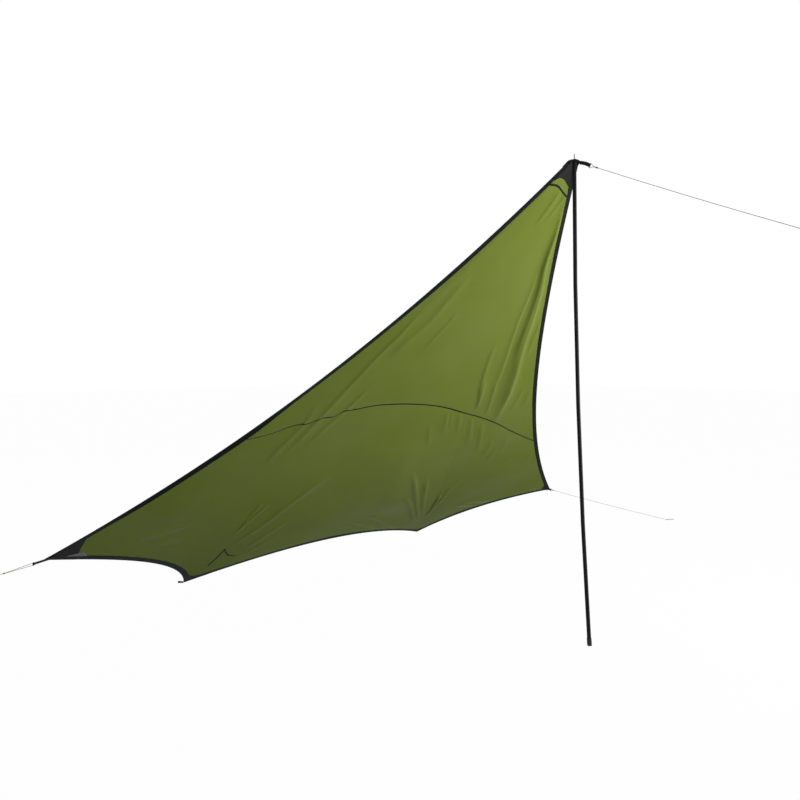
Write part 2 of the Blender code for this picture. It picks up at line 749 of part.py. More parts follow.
def build_apex(finish):
    """The beak: a stiff piece that covers the top line and the pole's tip, with its eyelet."""
    lift = (TAPE_THICKNESS + BEAK_THICKNESS) / 2 + np.array([[SEAT_GAP], [SEAT_GAP], [BEND_GAP]])
    half = TOP_LINE_WIDTH / 2
    down = np.array([[1.0], [0.5], [0.0]]) * BEAK_OVERLAP / EDGE_LENGTH
    columns = beak_columns(down)
    rows = list(canopy_point(down, columns, -lift))
    shares = columns[-1] * 2 - 1
    sweep = TOP_LINE_ARCH[1]
    front_half = BEAK_FRONT_WIDTH / 2
    places = [
        (BEAK_FLAT, 0.0, 0.92, TOP_LINE_BELOW * 0.85, sweep * 0.8),
        (0.0, 0.0, 0.72, TOP_LINE_BELOW * 0.72, sweep * 0.4),
        (-BEAK_FLAT, 0.0, 0.52, TOP_LINE_BELOW * 0.65, 0.0),
    ]
    for y, z, width, droop, back in places:
        rows.append(beak_row(PEAK + Vector((0, y, z)), shares, half * width, droop, back, BEAK_FLAT))
    for share, flat in ((0.4, 0.45), (0.7, 0.40), (1.0, 0.35)):
        y = -BEAK_FLAT - (BEAK_FRONT - BEAK_FLAT) * share
        width = half * 0.52 * (1 - share) + front_half * share
        middle = PEAK + Vector((0, y, -BEAK_DIP * share))
        rows.append(beak_row(middle, shares, width, BEAK_DROOP, 0.0, width * flat))
    beak = sheet("apex_beak", np.array(rows), BEAK_THICKNESS, finish["webbing"])

    drill = bpy.data.meshes.new("eyelet_drill")
    shape = bmesh.new()
    bmesh.ops.create_cone(
        shape,
        cap_ends=True,
        segments=24,
        radius1=EYELET_HOLE_RADIUS + EYELET_BARREL + GAP,
        radius2=EYELET_HOLE_RADIUS + EYELET_BARREL + GAP,
        depth=BEAK_THICKNESS * 4,
        matrix=Matrix.Translation(PEAK),
    )
    shape.to_mesh(drill)
    shape.free()
    cutter = add_object("eyelet_drill", drill, None, CUTTERS)
    cutter.hide_render = True
    cutter.display_type = "WIRE"
    hole = beak.modifiers.new("eyelet_hole", "BOOLEAN")
    hole.operation = "DIFFERENCE"
    hole.object = cutter

    low = DOME_CENTRE + UP * EYELET_BOTTOM
    face = low + UP * EYELET_FLANGE
    over = face + UP * (BEAK_THICKNESS + 2 * GAP)
    high = over + UP * EYELET_FLANGE
    barrel = EYELET_HOLE_RADIUS + EYELET_BARREL
    turned(
        "apex_eyelet",
        [
            (high, UP, EYELET_HOLE_RADIUS),
            (high, UP, EYELET_RADIUS),
            (over, UP, EYELET_RADIUS),
            (over, UP, barrel),
            (face, UP, barrel),
            (face, UP, EYELET_RADIUS),
            (low, UP, EYELET_RADIUS),
            (low, UP, EYELET_HOLE_RADIUS),
        ],
        finish["steel"],
        through=True,
    )


# Webbing straps


def strap(name, start, lie, width_way, overlap, pull, length, width, eye, material):
    """A strap of doubled webbing, cut from its side outline: a lying part, then a pulled part.

    start is the middle of its near end. It lies along lie for overlap metres and then turns to
    pull for length metres, with the eye at the far end. Returns the eye's middle, the direction
    of the pulled part and that of the eye's axis.
    """
    across = (width_way - lie * width_way.dot(lie)).normalized()
    side = across.cross(lie)
    bend = math.atan2(pull.dot(side), pull.dot(lie))
    radius = eye + STRAP_EYE_WALL
    half = STRAP_THICKNESS / 2
    mitre = half * math.tan(bend / 2)
    centre = length - radius
    opening = math.asin(half / radius)
    turns = np.linspace(math.pi - opening, opening - math.pi, 17)
    far = [(centre + radius * math.cos(t), radius * math.sin(t)) for t in -turns]
    hole = [(centre + eye * math.cos(t), eye * math.sin(t)) for t in np.linspace(0, 2 * math.pi, 15)[:-1]]

    def pulled(points):
        cosine, sine = math.cos(bend), math.sin(bend)
        return [(overlap + x * cosine - y * sine, x * sine + y * cosine) for x, y in points]

    outline = pulled(far)
    if overlap:
        outline = [(overlap - mitre, half), (0, half), (0, -half), (overlap + mitre, -half), *outline]
    else:
        outline = [(0, half), (0, -half), *outline]
    curve = bpy.data.curves.new(name, "CURVE")
    curve.dimensions = "2D"
    curve.fill_mode = "BOTH"
    curve.extrude = width / 2
    for points in (outline, pulled(hole)):
        spline = curve.splines.new("POLY")
        spline.points.add(len(points) - 1)
        for place, (x, y) in zip(spline.points, points):
            place.co = (x, y, 0, 1)
        spline.use_cyclic_u = True
    made = add_object(name, curve, material)
    turn = Matrix((lie, side, across)).transposed().to_4x4()
    made.matrix_world = Matrix.Translation(start) @ turn
    along = (lie * math.cos(bend) + side * math.sin(bend)).normalized()
    return start + lie * overlap + along * centre, along, across


def direction(plan_deg, down_deg):
    """A unit vector at an angle in plan from +X, and tilted down."""
    plan, down = math.radians(plan_deg), math.radians(down_deg)
    flat = math.cos(down)
    return Vector((flat * math.cos(plan), flat * math.sin(plan), -math.sin(down)))


def wing_strap_start(corner_u, corner_v, along):
    """Where a wing strap's near end lies under its patch, and the way its width runs."""
    normal = Vector(underside(np.array(corner_u), np.array(corner_v)))
    tip = Vector(taut_point(np.array(corner_u), np.array(corner_v)))
    flat = (along - normal * along.dot(normal)).normalized()
    lift = TAPE_THICKNESS / 2 + SEAT_GAP + STRAP_THICKNESS / 2
    return tip + normal * lift - flat * WING_STRAP_OVERLAP, flat, normal.cross(flat)


FRONT_WAY = direction(-90, FRONT_CORD_DOWN_DEG)
LEFT_WAY = direction(LEFT_CORD_PLAN_DEG, LEFT_CORD_DOWN_DEG)
APEX_STRAP_START = PEAK - Vector((0, BEAK_FRONT - APEX_STRAP_TUCK, BEAK_DIP + BEAK_DROOP / 2))
CORNER_STEP = 0.002


def right_way():
    """The direction from the right wing corner to the place on the ground where its cord ends."""
    end = Vector((*RIGHT_CORD_END, CORD_RADIUS))
    return (end - Vector(RIGHT_WING)).normalized()


def build_straps(finish):
    """Five webbing straps: apex, two wings and two ground corners."""
    web, width, eye = finish["webbing"], STRAP_WIDTH, STRAP_EYE_RADIUS
    start, way = APEX_STRAP_START, FRONT_WAY
    made = {"apex": strap("apex_guy_strap", start, way, UP, 0.0, way, APEX_STRAP_LENGTH, width, eye, web)}
    wings = (
        ("left", CORNER_STEP, LEFT_WAY, LEFT_STRAP_LENGTH),
        ("right", 1 - CORNER_STEP, right_way(), RIGHT_STRAP_LENGTH),
    )
    overlap = WING_STRAP_OVERLAP
    for side, corner_v, way, length in wings:
        start, lie, across = wing_strap_start(1 - CORNER_STEP, corner_v, way)
        name = f"{side}_wing_strap"
        made[side] = strap(name, start, lie, across, overlap, way, length, width, eye, web)
    width, eye = PEG_STRAP_WIDTH, PEG_EYE_RADIUS
    for side, corner, plan in (("left", LEFT_GROUND, 128.0), ("right", RIGHT_GROUND, 62.0)):
        way = direction(plan, 0)
        start = Vector((*corner, PEG_STRAP_WIDTH / 2)) + way * PEG_STRAP_CLEAR
        strap(f"{side}_peg_loop", start, way, UP, 0.0, way, PEG_STRAP_LENGTH, width, eye, web)
    return made


# Cords, knots and the line runner


def smooth_line(points, count):
    """count points on a smooth curve through hand-placed ones, evenly spread."""
    points = np.array([tuple(p) for p in points], float)
    ends = [2 * points[0] - points[1], *points, 2 * points[-1] - points[-2]]
    fine = []
    for a, b, c, d in zip(ends, ends[1:], ends[2:], ends[3:]):
        t = np.linspace(0, 1, 24, endpoint=False)[:, None]
        bend = 2 * a - 5 * b + 4 * c - d
        fine.append(0.5 * (2 * b + (c - a) * t + bend * t**2 + (3 * b - a - 3 * c + d) * t**3))
    fine = np.concatenate([*fine, [ends[-2]]])
    run = np.concatenate([[0], np.cumsum(np.linalg.norm(np.diff(fine, axis=0), axis=1))])
    at = np.linspace(0, run[-1], count)
    return np.stack([np.interp(at, run, fine[:, k]) for k in range(3)], -1)


def cord(name, points, count, material):
    """A cord as a round tube along a smooth curve through hand-placed points."""
    curve = bpy.data.curves.new(name, "CURVE")
    curve.dimensions = "3D"
    curve.bevel_depth = CORD_RADIUS
    curve.bevel_resolution = 2
    curve.use_fill_caps = True
    spline = curve.splines.new("POLY")
    spline.points.add(count - 1)
    for place, point in zip(spline.points, smooth_line(points, count)):
        place.co = (*point, 1)
    return add_object(name, curve, material)


def knot(name, centre, along, material):
    """A tied knot as a round lump, drawn out along the cord."""
    half = KNOT_LENGTH / 2
    steps = [-1, -0.75, -0.3, 0.3, 0.75, 1]
    widths = [0.45, 0.85, 1, 1, 0.85, 0.45]
    rings = [(centre + along * half * s, along, KNOT_RADIUS * w) for s, w in zip(steps, widths)]
    return turned(name, rings, material, sides=12)


def through_eye(name, centre, along, across, length, width, material):
    """Both strands of the cord that is threaded through a strap's eye, as far as the knot."""
    spread = width / 2 + CORD_EYE_SPREAD
    join = centre + along * length
    close = KNOT_RADIUS * 0.42
    ways = [
        join - across * close,
        centre + along * (length * 0.45) - across * (spread * 0.62 + close * 0.4),
        centre + along * 0.006 - across * spread,
        centre - across * (width / 2 + CORD_EYE_SPREAD * 0.4),
        centre,
        centre + across * (width / 2 + CORD_EYE_SPREAD * 0.4),
        centre + along * 0.006 + across * spread,
        centre + along * (length * 0.45) + across * (spread * 0.62 + close * 0.4),
        join + across * close,
    ]
    return cord(name, ways, 44, material)


def end_loop(name, start, along, across, material):
    """The open loop at a guyline's end, from its knot and back."""
    close = KNOT_RADIUS * 0.42
    reach, half = END_LOOP_LENGTH, END_LOOP_WIDTH / 2
    ways = [
        start - across * close,
        start + along * reach * 0.45 - across * half * 0.85,
        start + along * reach * 0.80 - across * half,
        start + along * reach,
        start + along * reach * 0.80 + across * half,
        start + along * reach * 0.45 + across * half * 0.85,
        start + across * close,
    ]
    return cord(name, ways, 34, material)


def sagging(start, end, sag):
    """Hand-placed points of a taut cord with a little sag."""
    return [start.lerp(end, s) - UP * (4 * sag * s * (1 - s)) for s in (0, 0.2, 0.4, 0.6, 0.8, 1)]


def build_front_guyline(eyes, finish):
    """The guyline that pulls the apex forward, cut short where it leaves the view."""
    centre, along, across = eyes["apex"]
    through_eye("front_guyline_eye", centre, along, across, FRONT_EYE_LENGTH, STRAP_WIDTH, finish["cord"])
    middle = centre + along * (FRONT_EYE_LENGTH + GAP + KNOT_LENGTH / 2)
    knot("front_guyline_knot", middle, along, finish["webbing"])
    start = middle + along * (KNOT_LENGTH / 2 + GAP)
    end = start + along * FRONT_CORD_LENGTH
    cord("front_guyline", sagging(start, end, CORD_SAG), 60, finish["cord"])
    far = end + along * (GAP + KNOT_LENGTH / 2)
    knot("front_guyline_end_knot", far, along, finish["cord"])
    out = far + along * (KNOT_LENGTH / 2 + GAP)
    end_loop("front_guyline_end_loop", out, along, Vector((1, 0, 0)), finish["cord"])


def build_right_guyline(eyes, finish):
    """The guyline from the right wing down to the ground."""
    centre, along, across = eyes["right"]
    through_eye("right_guyline_eye", centre, along, across, RIGHT_EYE_LENGTH, STRAP_WIDTH, finish["cord"])
    middle = centre + along * (RIGHT_EYE_LENGTH + GAP + KNOT_LENGTH / 2)
    knot("right_guyline_knot", middle, along, finish["webbing"])
    flat = Vector((*RIGHT_CORD_END, 0)) - middle
    flat.z = 0
    flat.normalize()
    end = Vector((*RIGHT_CORD_END, KNOT_RADIUS))
    start = middle + (end - middle).normalized() * (KNOT_LENGTH / 2 + GAP)
    ways = sagging(start, end - flat * (KNOT_LENGTH / 2 + GAP), CORD_SAG)
    ways[-1] = end - flat * (KNOT_LENGTH / 2 + GAP)
    cord("right_guyline", ways, 60, finish["cord"])
    knot("right_guyline_end_knot", end, flat, finish["cord"])
    out = end + flat * (KNOT_LENGTH / 2 + GAP)
    end_loop("right_guyline_end_loop", out, flat, UP.cross(flat), finish["cord"])


def build_left_guyline(eyes, finish):
    """The left wing's doubled cord, its knot, a short tan link, the line runner and the tail."""
    centre, along, across = eyes["left"]
    through_eye("left_guyline_eye", centre, along, across, LEFT_EYE_LENGTH, STRAP_WIDTH, finish["cord"])
    middle = centre + along * (LEFT_EYE_LENGTH + GAP + KNOT_LENGTH / 2)
    knot("left_guyline_knot", middle, along, finish["tan"])
    start = middle + along * (KNOT_LENGTH / 2 + GAP)
    run = LEFT_LINK_LENGTH + RUNNER_LENGTH + LEFT_TAIL_LENGTH
    cord("left_guyline", [start, start + along * run / 2, start + along * run], 40, finish["tan"])
    base = start + along * LEFT_LINK_LENGTH
    bore = CORD_RADIUS + GAP
    lip = RUNNER_RADIUS * 0.75
    turned(
        "left_line_runner",
        [
            (base, along, bore),
            (base, along, lip),
            (base + along * RUNNER_LENGTH * 0.15, along, RUNNER_RADIUS),
            (base + along * RUNNER_LENGTH * 0.40, along, RUNNER_RADIUS * 0.8),
            (base + along * RUNNER_LENGTH * 0.60, along, RUNNER_RADIUS * 0.8),
            (base + along * RUNNER_LENGTH * 0.85, along, RUNNER_RADIUS),
            (base + along * RUNNER_LENGTH, along, lip),
            (base + along * RUNNER_LENGTH, along, bore),
        ],
        finish["runner"],
        sides=16,
        through=True,
        origin=base,
    )
    far = start + along * (run + GAP + KNOT_LENGTH / 2)
    knot("left_guyline_end_knot", far, along, finish["tan"])
    out = far + along * (KNOT_LENGTH / 2 + GAP)
    end_loop("left_guyline_end_loop", out, along, along.cross(UP).normalized(), finish["tan"])


def main():
    clear_scene()
    finish = make_materials()
    build_pole(finish)
    build_canopy(finish)
    build_edges(finish)
    build_apex(finish)
    eyes = build_straps(finish)
    build_front_guyline(eyes, finish)
    build_right_guyline(eyes, finish)
    build_left_guyline(eyes, finish)


main()
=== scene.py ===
"""Looks of a five-cornered wing tarp, pitched on one upright pole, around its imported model.

Metres, +Z up. The origin is under the pole's foot, +Y runs from the open front to the pegged back
edge, and +X is the right hand of somebody who stands in the opening and looks in.
"""

import math

import bpy
import numpy as np
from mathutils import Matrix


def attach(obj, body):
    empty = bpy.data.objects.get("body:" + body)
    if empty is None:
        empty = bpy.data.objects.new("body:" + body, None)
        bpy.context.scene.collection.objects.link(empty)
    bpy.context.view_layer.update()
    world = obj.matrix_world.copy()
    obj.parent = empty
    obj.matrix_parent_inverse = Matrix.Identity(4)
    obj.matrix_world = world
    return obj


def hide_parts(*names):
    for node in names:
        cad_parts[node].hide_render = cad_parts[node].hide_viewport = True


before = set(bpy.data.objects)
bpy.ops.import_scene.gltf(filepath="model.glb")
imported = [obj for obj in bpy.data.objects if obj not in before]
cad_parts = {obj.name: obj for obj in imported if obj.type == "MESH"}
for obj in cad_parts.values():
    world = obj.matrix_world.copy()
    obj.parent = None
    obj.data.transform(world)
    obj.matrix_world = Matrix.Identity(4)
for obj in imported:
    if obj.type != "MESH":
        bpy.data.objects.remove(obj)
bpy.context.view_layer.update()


# Camera and studio
#
# The photograph's own viewpoint, solved from the pole, the five corners and a cord's end on the
# ground. The floor and the air are white to the camera; lamps and world light the tarp softly.

VIEWPOINT = (-3.05782, -1.95806, 1.35653)
LOOKS_RIGHT_DEG = 43.077
LOOKS_DOWN_DEG = 3.151
SENSOR_WIDTH = 36.0
LENS = 34.14


def add_object(name, data):
    """A new object in the scene, of that mesh, camera or lamp."""
    made = bpy.data.objects.new(name, data)
    bpy.context.scene.collection.objects.link(made)
    return made


camera_data = bpy.data.cameras.new("photo_camera")
camera_data.sensor_width = SENSOR_WIDTH
camera_data.lens = LENS
camera = add_object("photo_camera", camera_data)
camera.location = VIEWPOINT
camera.rotation_euler = (math.radians(90 - LOOKS_DOWN_DEG), 0, math.radians(-LOOKS_RIGHT_DEG))
bpy.context.scene.camera = camera
bpy.context.scene.view_settings.view_transform = "Standard"

FLOOR_HALF = 30.0
FLOOR_DROP = 0.001
FLOOR_COLOUR = (0.50, 0.50, 0.50, 1)
FLOOR_SHADOW = 0.015
WHITE = (1, 1, 1, 1)
WORLD_STRENGTH = 0.20


def add_node(tree, kind, inputs, **settings):
    """A new shader node; each of its inputs is a plain value or another node's output."""
    made = tree.nodes.new(kind)
    for key, value in settings.items():
        setattr(made, key, value)
    for key, value in inputs.items():
        if isinstance(value, bpy.types.NodeSocket):
            tree.links.new(value, made.inputs[key])
        else:
            made.inputs[key].default_value = value
    return made


def combine(tree, operation, one, two):
    """Two values put together by one arithmetic step; a value may be a plain number."""
    return add_node(tree, "ShaderNodeMath", {0: one, 1: two}, operation=operation).outputs[0]


def seen_directly(tree):
    """1 for rays from the camera or off a glossy or clear surface, and 0 for rays that light."""
    path = tree.nodes.new("ShaderNodeLightPath")
    reflected = combine(tree, "MAXIMUM", path.outputs["Is Camera Ray"], path.outputs["Is Glossy Ray"])
    return combine(tree, "MAXIMUM", reflected, path.outputs["Is Transmission Ray"])


def choose_by_ray(tree, share, lights, shows, end):
    """Mixes the shader that lights with the one that shows, by a share, into the tree's end."""
    mix = {0: share, 1: lights.outputs[0], 2: shows.outputs[0]}
    mixed = add_node(tree, "ShaderNodeMixShader", mix)
    tree.links.new(mixed.outputs[0], tree.nodes[end].inputs["Surface"])


def finish(name, roughness, metallic=0.0, specular=0.5, sheen=0.0):
    """A new Principled finish; returns the material, its node tree and its shader."""
    made = bpy.data.materials.new(name)
    made.use_nodes = True
    shader = made.node_tree.nodes["Principled BSDF"]
    shader.inputs["Roughness"].default_value = roughness
    shader.inputs["Metallic"].default_value = metallic
    shader.inputs["Specular IOR Level"].default_value = specular
    shader.inputs["Sheen Weight"].default_value = sheen
    return made, made.node_tree, shader


world = bpy.data.worlds.new("studio")
world.use_nodes = True
bpy.context.scene.world = world
air = world.node_tree
dim = air.nodes["Background"]
dim.inputs["Strength"].default_value = WORLD_STRENGTH
dim.inputs["Color"].default_value = WHITE
white = add_node(air, "ShaderNodeBackground", {"Color": WHITE})
choose_by_ray(air, seen_directly(air), dim, white, "World Output")

floor_mesh = bpy.data.meshes.new("studio_floor")
half = FLOOR_HALF
floor_mesh.from_pydata(
    [(-half, -half, 0), (half, -half, 0), (half, half, 0), (-half, half, 0)], [], [(0, 1, 2, 3)]
)
floor = add_object("studio_floor", floor_mesh)
floor.location.z = -FLOOR_DROP
floor_finish, ground, matt = finish("studio_floor", 1.0, specular=0.0)
matt.inputs["Base Color"].default_value = FLOOR_COLOUR
glow = ground.nodes.new("ShaderNodeEmission")
mostly = combine(ground, "MULTIPLY", seen_directly(ground), 1 - FLOOR_SHADOW)
choose_by_ray(ground, mostly, matt, glow, "Material Output")
floor.data.materials.append(floor_finish)


def soft_lamp(name, place, aim, size, power):
    """A square soft lamp at a place, turned to a point."""
    data = bpy.data.lights.new(name, "AREA")
    data.size = size
    data.energy = power
    lamp = add_object(name, data)
    lamp.location = place
    x, y, z = np.subtract(aim, place)
    lamp.rotation_euler = (math.atan2(math.hypot(x, y), -z), 0, math.atan2(y, x) - math.pi / 2)
    lamp.visible_camera = False


soft_lamp("key", (1.60, -1.80, 1.50), (0.05, 0.50, 1.60), 0.7, 110)
soft_lamp("back", (2.60, 5.00, 4.20), (0.0, 1.20, 1.00), 2.6, 170)
soft_lamp("left", (-2.60, -1.60, 1.10), (-1.20, 1.10, 0.50), 1.0, 9)


# Pole
#
# Four plug-together tubes of painted aluminium, black and half matt, each with a spigot in the one
# above. The paint is rubbed greyer by many pitches, in blotches and faint lengthwise streaks.

POLE_BLACK = (0.0045, 0.0045, 0.0052)
POLE_RUBBED = (0.012, 0.012, 0.013)


def pattern_space(tree, kind, stretch):
    """Coordinates for a pattern: the piece's own place in metres, or its UV map, stretched."""
    source = tree.nodes.new("ShaderNodeTexCoord").outputs[kind]
    return add_node(tree, "ShaderNodeMapping", {"Vector": source, "Scale": stretch}).outputs[0]


def noise(tree, scale, detail, kind="Object", stretch=(1, 1, 1), roughness=0.55):
    """Fractal noise from 0 to 1 in a pattern's space."""
    space = pattern_space(tree, kind, stretch)
    inputs = {"Vector": space, "Scale": scale, "Detail": detail, "Roughness": roughness}
    return add_node(tree, "ShaderNodeTexNoise", inputs).outputs["Fac"]


def waves(tree, stretch, direction):
    """Even ridges across one way of the stretched UV map, from 0 to 1."""
    inputs = {"Vector": pattern_space(tree, "UV", stretch), "Scale": 1.0, "Distortion": 0.0}
    ridges = {"wave_type": "BANDS", "bands_direction": direction}
    return add_node(tree, "ShaderNodeTexWave", inputs, **ridges).outputs["Fac"]


def colour_along(tree, shader, factor, low, high):
    """The base colour along a factor, from one stop to another: (place, linear colour) each."""
    ramp = tree.nodes.new("ShaderNodeValToRGB")
    for element, (place, colour) in zip(ramp.color_ramp.elements, (low, high)):
        element.position = place
        element.color = (*colour, 1)
    tree.links.new(factor, ramp.inputs[0])
    tree.links.new(ramp.outputs[0], shader.inputs["Base Color"])


def roughness_along(tree, shader, factor, low, high):
    """The roughness along a factor: low at 0 and high at 1."""
    inputs = {"Value": factor, "To Min": low, "To Max": high}
    spread = add_node(tree, "ShaderNodeMapRange", inputs)
    tree.links.new(spread.outputs[0], shader.inputs["Roughness"])


def relief(tree, shader, height, distance, strength):
    """Bump on the shader: height 0 to 1 stands for distance metres."""
    inputs = {"Height": height, "Distance": distance, "Strength": strength}
    bump = add_node(tree, "ShaderNodeBump", inputs)
    tree.links.new(bump.outputs[0], shader.inputs["Normal"])


def dress(names, material):
    """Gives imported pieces, whose shape is right as it is, their real finish."""
    for name in names:
        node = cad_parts[name]
        node.data.materials.clear()
        node.data.materials.append(material)


pole_paint, tree, shader = finish("pole_paint", 0.55, specular=0.12)
streaks = noise(tree, 1.0, 4, stretch=(260, 260, 6))
blotches = noise(tree, 9.0, 5)
worn = combine(tree, "MULTIPLY", streaks, blotches)
colour_along(tree, shader, worn, (0.18, POLE_BLACK), (0.42, POLE_RUBBED))
roughness_along(tree, shader, blotches, 0.48, 0.66)
relief(tree, shader, streaks, 0.00004, 0.5)
dress(["pole_section_1", "pole_section_2", "pole_section_3", "pole_section_4"], pole_paint)


# Foot cap and tip plug
#
# Moulded black plastic: the cap grips the lowest tube and wears grey on the ground, the plug
# closes the top tube and carries the spike.

PLASTIC_BLACK = (0.006, 0.006, 0.0065)
PLASTIC_DUSTY = (0.017, 0.0165, 0.0155)

moulded, tree, shader = finish("moulded_plastic", 0.6, specular=0.3)
dust = noise(tree, 60.0, 4)
colour_along(tree, shader, dust, (0.35, PLASTIC_BLACK), (0.75, PLASTIC_DUSTY))
grain = noise(tree, 900.0, 2)
relief(tree, shader, grain, 0.00008, 0.6)
dress(["pole_foot_cap", "pole_tip_plug"], moulded)


# Spike and eyelet
#
# The spike is a dark plated steel pin set in the plug. The eyelet is a rolled ring of the same
# finish in the apex beak, and the pin stands up through it.

PLATED_DARK = (0.085, 0.085, 0.09)
PLATED_WORN = (0.20, 0.20, 0.21)

plated, tree, shader = finish("plated_steel", 0.3, 1.0)
scuffs = noise(tree, 700.0, 4, stretch=(1, 1, 0.2))
colour_along(tree, shader, scuffs, (0.3, PLATED_DARK), (0.7, PLATED_WORN))
roughness_along(tree, shader, scuffs, 0.22, 0.45)
relief(tree, shader, scuffs, 0.00002, 0.5)
dress(["pole_tip_spike", "apex_eyelet"], plated)


# The canopy's surface
#
# The pitched cloth as one surface of two parameters: u from the top line (0) to the lower edges
# (1), and v from the left long edge (0) to the right one (1). Every sewn piece lies on it.

PEAK = np.array([0.03788, 0.14371, 2.29394])
TOP_LINE_WIDTH = 0.090
TOP_MIDDLE = PEAK + np.array([0, 0.010, -0.020])
TOP_LEFT = TOP_MIDDLE - np.array([TOP_LINE_WIDTH / 2, 0, 0])
TOP_RIGHT = TOP_MIDDLE + np.array([TOP_LINE_WIDTH / 2, 0, 0])
TOP_LINE_ARCH = np.array([0, 0.006, 0.015])
TOP_LINE_ARCH_LENGTH = 0.30
WING_L = np.array([-1.873, 1.777, 0.405])
WING_R = np.array([1.935, 1.623, 0.311])
GROUND_L = np.array([-0.928, 2.236, 0.003])
GROUND_R = np.array([1.045, 2.236, 0.003])
MIDDLE = (TOP_MIDDLE + GROUND_L + GROUND_R) / 3
LEFT_GROUND_V = 0.27
RIGHT_GROUND_V = 0.73
STEP = 1e-4


def hollow_edge(start, end, towards, bows, handle=2 / 3):
    """Handles of a hollow-cut edge: the straight line with both handles drawn towards a point."""
    along = (end - start) / np.linalg.norm(end - start)
    inward = towards - (start + end) / 2
    inward = inward - along * (inward @ along)
    inward = inward / np.linalg.norm(inward)
    first = start + (end - start) / 3 + inward * bows[0]
    return start, first, start + (end - start) * handle + inward * bows[1], end


LEFT_EDGE = hollow_edge(TOP_LEFT, WING_L, MIDDLE, (0.258, 0.282))
RIGHT_EDGE = hollow_edge(TOP_RIGHT, WING_R, MIDDLE, (0.167, 0.275))
LEFT_LOWER = hollow_edge(WING_L, GROUND_L, TOP_MIDDLE, (0.087, 0.195), 0.80)
BACK_LOWER = hollow_edge(GROUND_L, GROUND_R, TOP_MIDDLE, (0.177, 0.245))
RIGHT_LOWER = hollow_edge(GROUND_R, WING_R, TOP_MIDDLE, (0.126, 0.090))
EDGE_LENGTH = np.linalg.norm(WING_L - TOP_LEFT)


def cubic(handles, t):
    """(1-t)^3 a + 3 (1-t)^2 t b + 3 (1-t) t^2 c + t^3 d, for each t."""
    a, b, c, d = handles
    t = np.asarray(t, float)[..., None]
    return (1 - t) ** 3 * a + 3 * (1 - t) ** 2 * t * b + 3 * (1 - t) * t * t * c + t**3 * d


def lower_edge(v):
    """Three hollow curves end to end: left wing, left ground, right ground, right wing corner."""
    left = cubic(LEFT_LOWER, np.clip(v / LEFT_GROUND_V, 0, 1))
    back = cubic(BACK_LOWER, np.clip((v - LEFT_GROUND_V) / (RIGHT_GROUND_V - LEFT_GROUND_V), 0, 1))
    right = cubic(RIGHT_LOWER, np.clip((v - RIGHT_GROUND_V) / (1 - RIGHT_GROUND_V), 0, 1))
    column = v[..., None]
    return np.where(column < LEFT_GROUND_V, left, np.where(column < RIGHT_GROUND_V, back, right))


def taut_point(u, v):
    """Lines between the long edges, plus u^2 of the belly, plus u^6 of the lower edges' kinks."""
    u, v = np.broadcast_arrays(np.asarray(u, float), np.asarray(v, float))
    across, down = v[..., None], u[..., None]
    ruled = (1 - across) * cubic(LEFT_EDGE, u) + across * cubic(RIGHT_EDGE, u)
    chord = (1 - across) * WING_L + across * WING_R
    belly = cubic((WING_L, GROUND_L, GROUND_R, WING_R), v)
    arch = 4 * v * (1 - v) * np.clip(1 - u * EDGE_LENGTH / TOP_LINE_ARCH_LENGTH, 0, 1) ** 2
    ruled = ruled + arch[..., None] * TOP_LINE_ARCH
    return ruled + down**2 * (belly - chord) + down**6 * (lower_edge(v) - belly)


def slopes(u, v):
    """Changes of the taut surface along u and along v, by small steps to both sides."""
    v = np.clip(v, STEP, 1 - STEP)
    along = (taut_point(u + STEP, v) - taut_point(u - STEP, v)) / (2 * STEP)
    across = (taut_point(u, v + STEP) - taut_point(u, v - STEP)) / (2 * STEP)
    return along, across


def unit(rows):
    """Each row at length one."""
    return rows / np.linalg.norm(rows, axis=-1, keepdims=True)


def underside(u, v):
    """Unit normals out of the sheltered side: the slope along u crossed with that along v."""
    return unit(np.cross(*slopes(u, v)))


# Folds
#
# The pulls and creases of the pitched cloth, each a line on the flat cloth: x is metres to the
# right of the cloth's middle and y metres below its top line. They fan out of the corners.

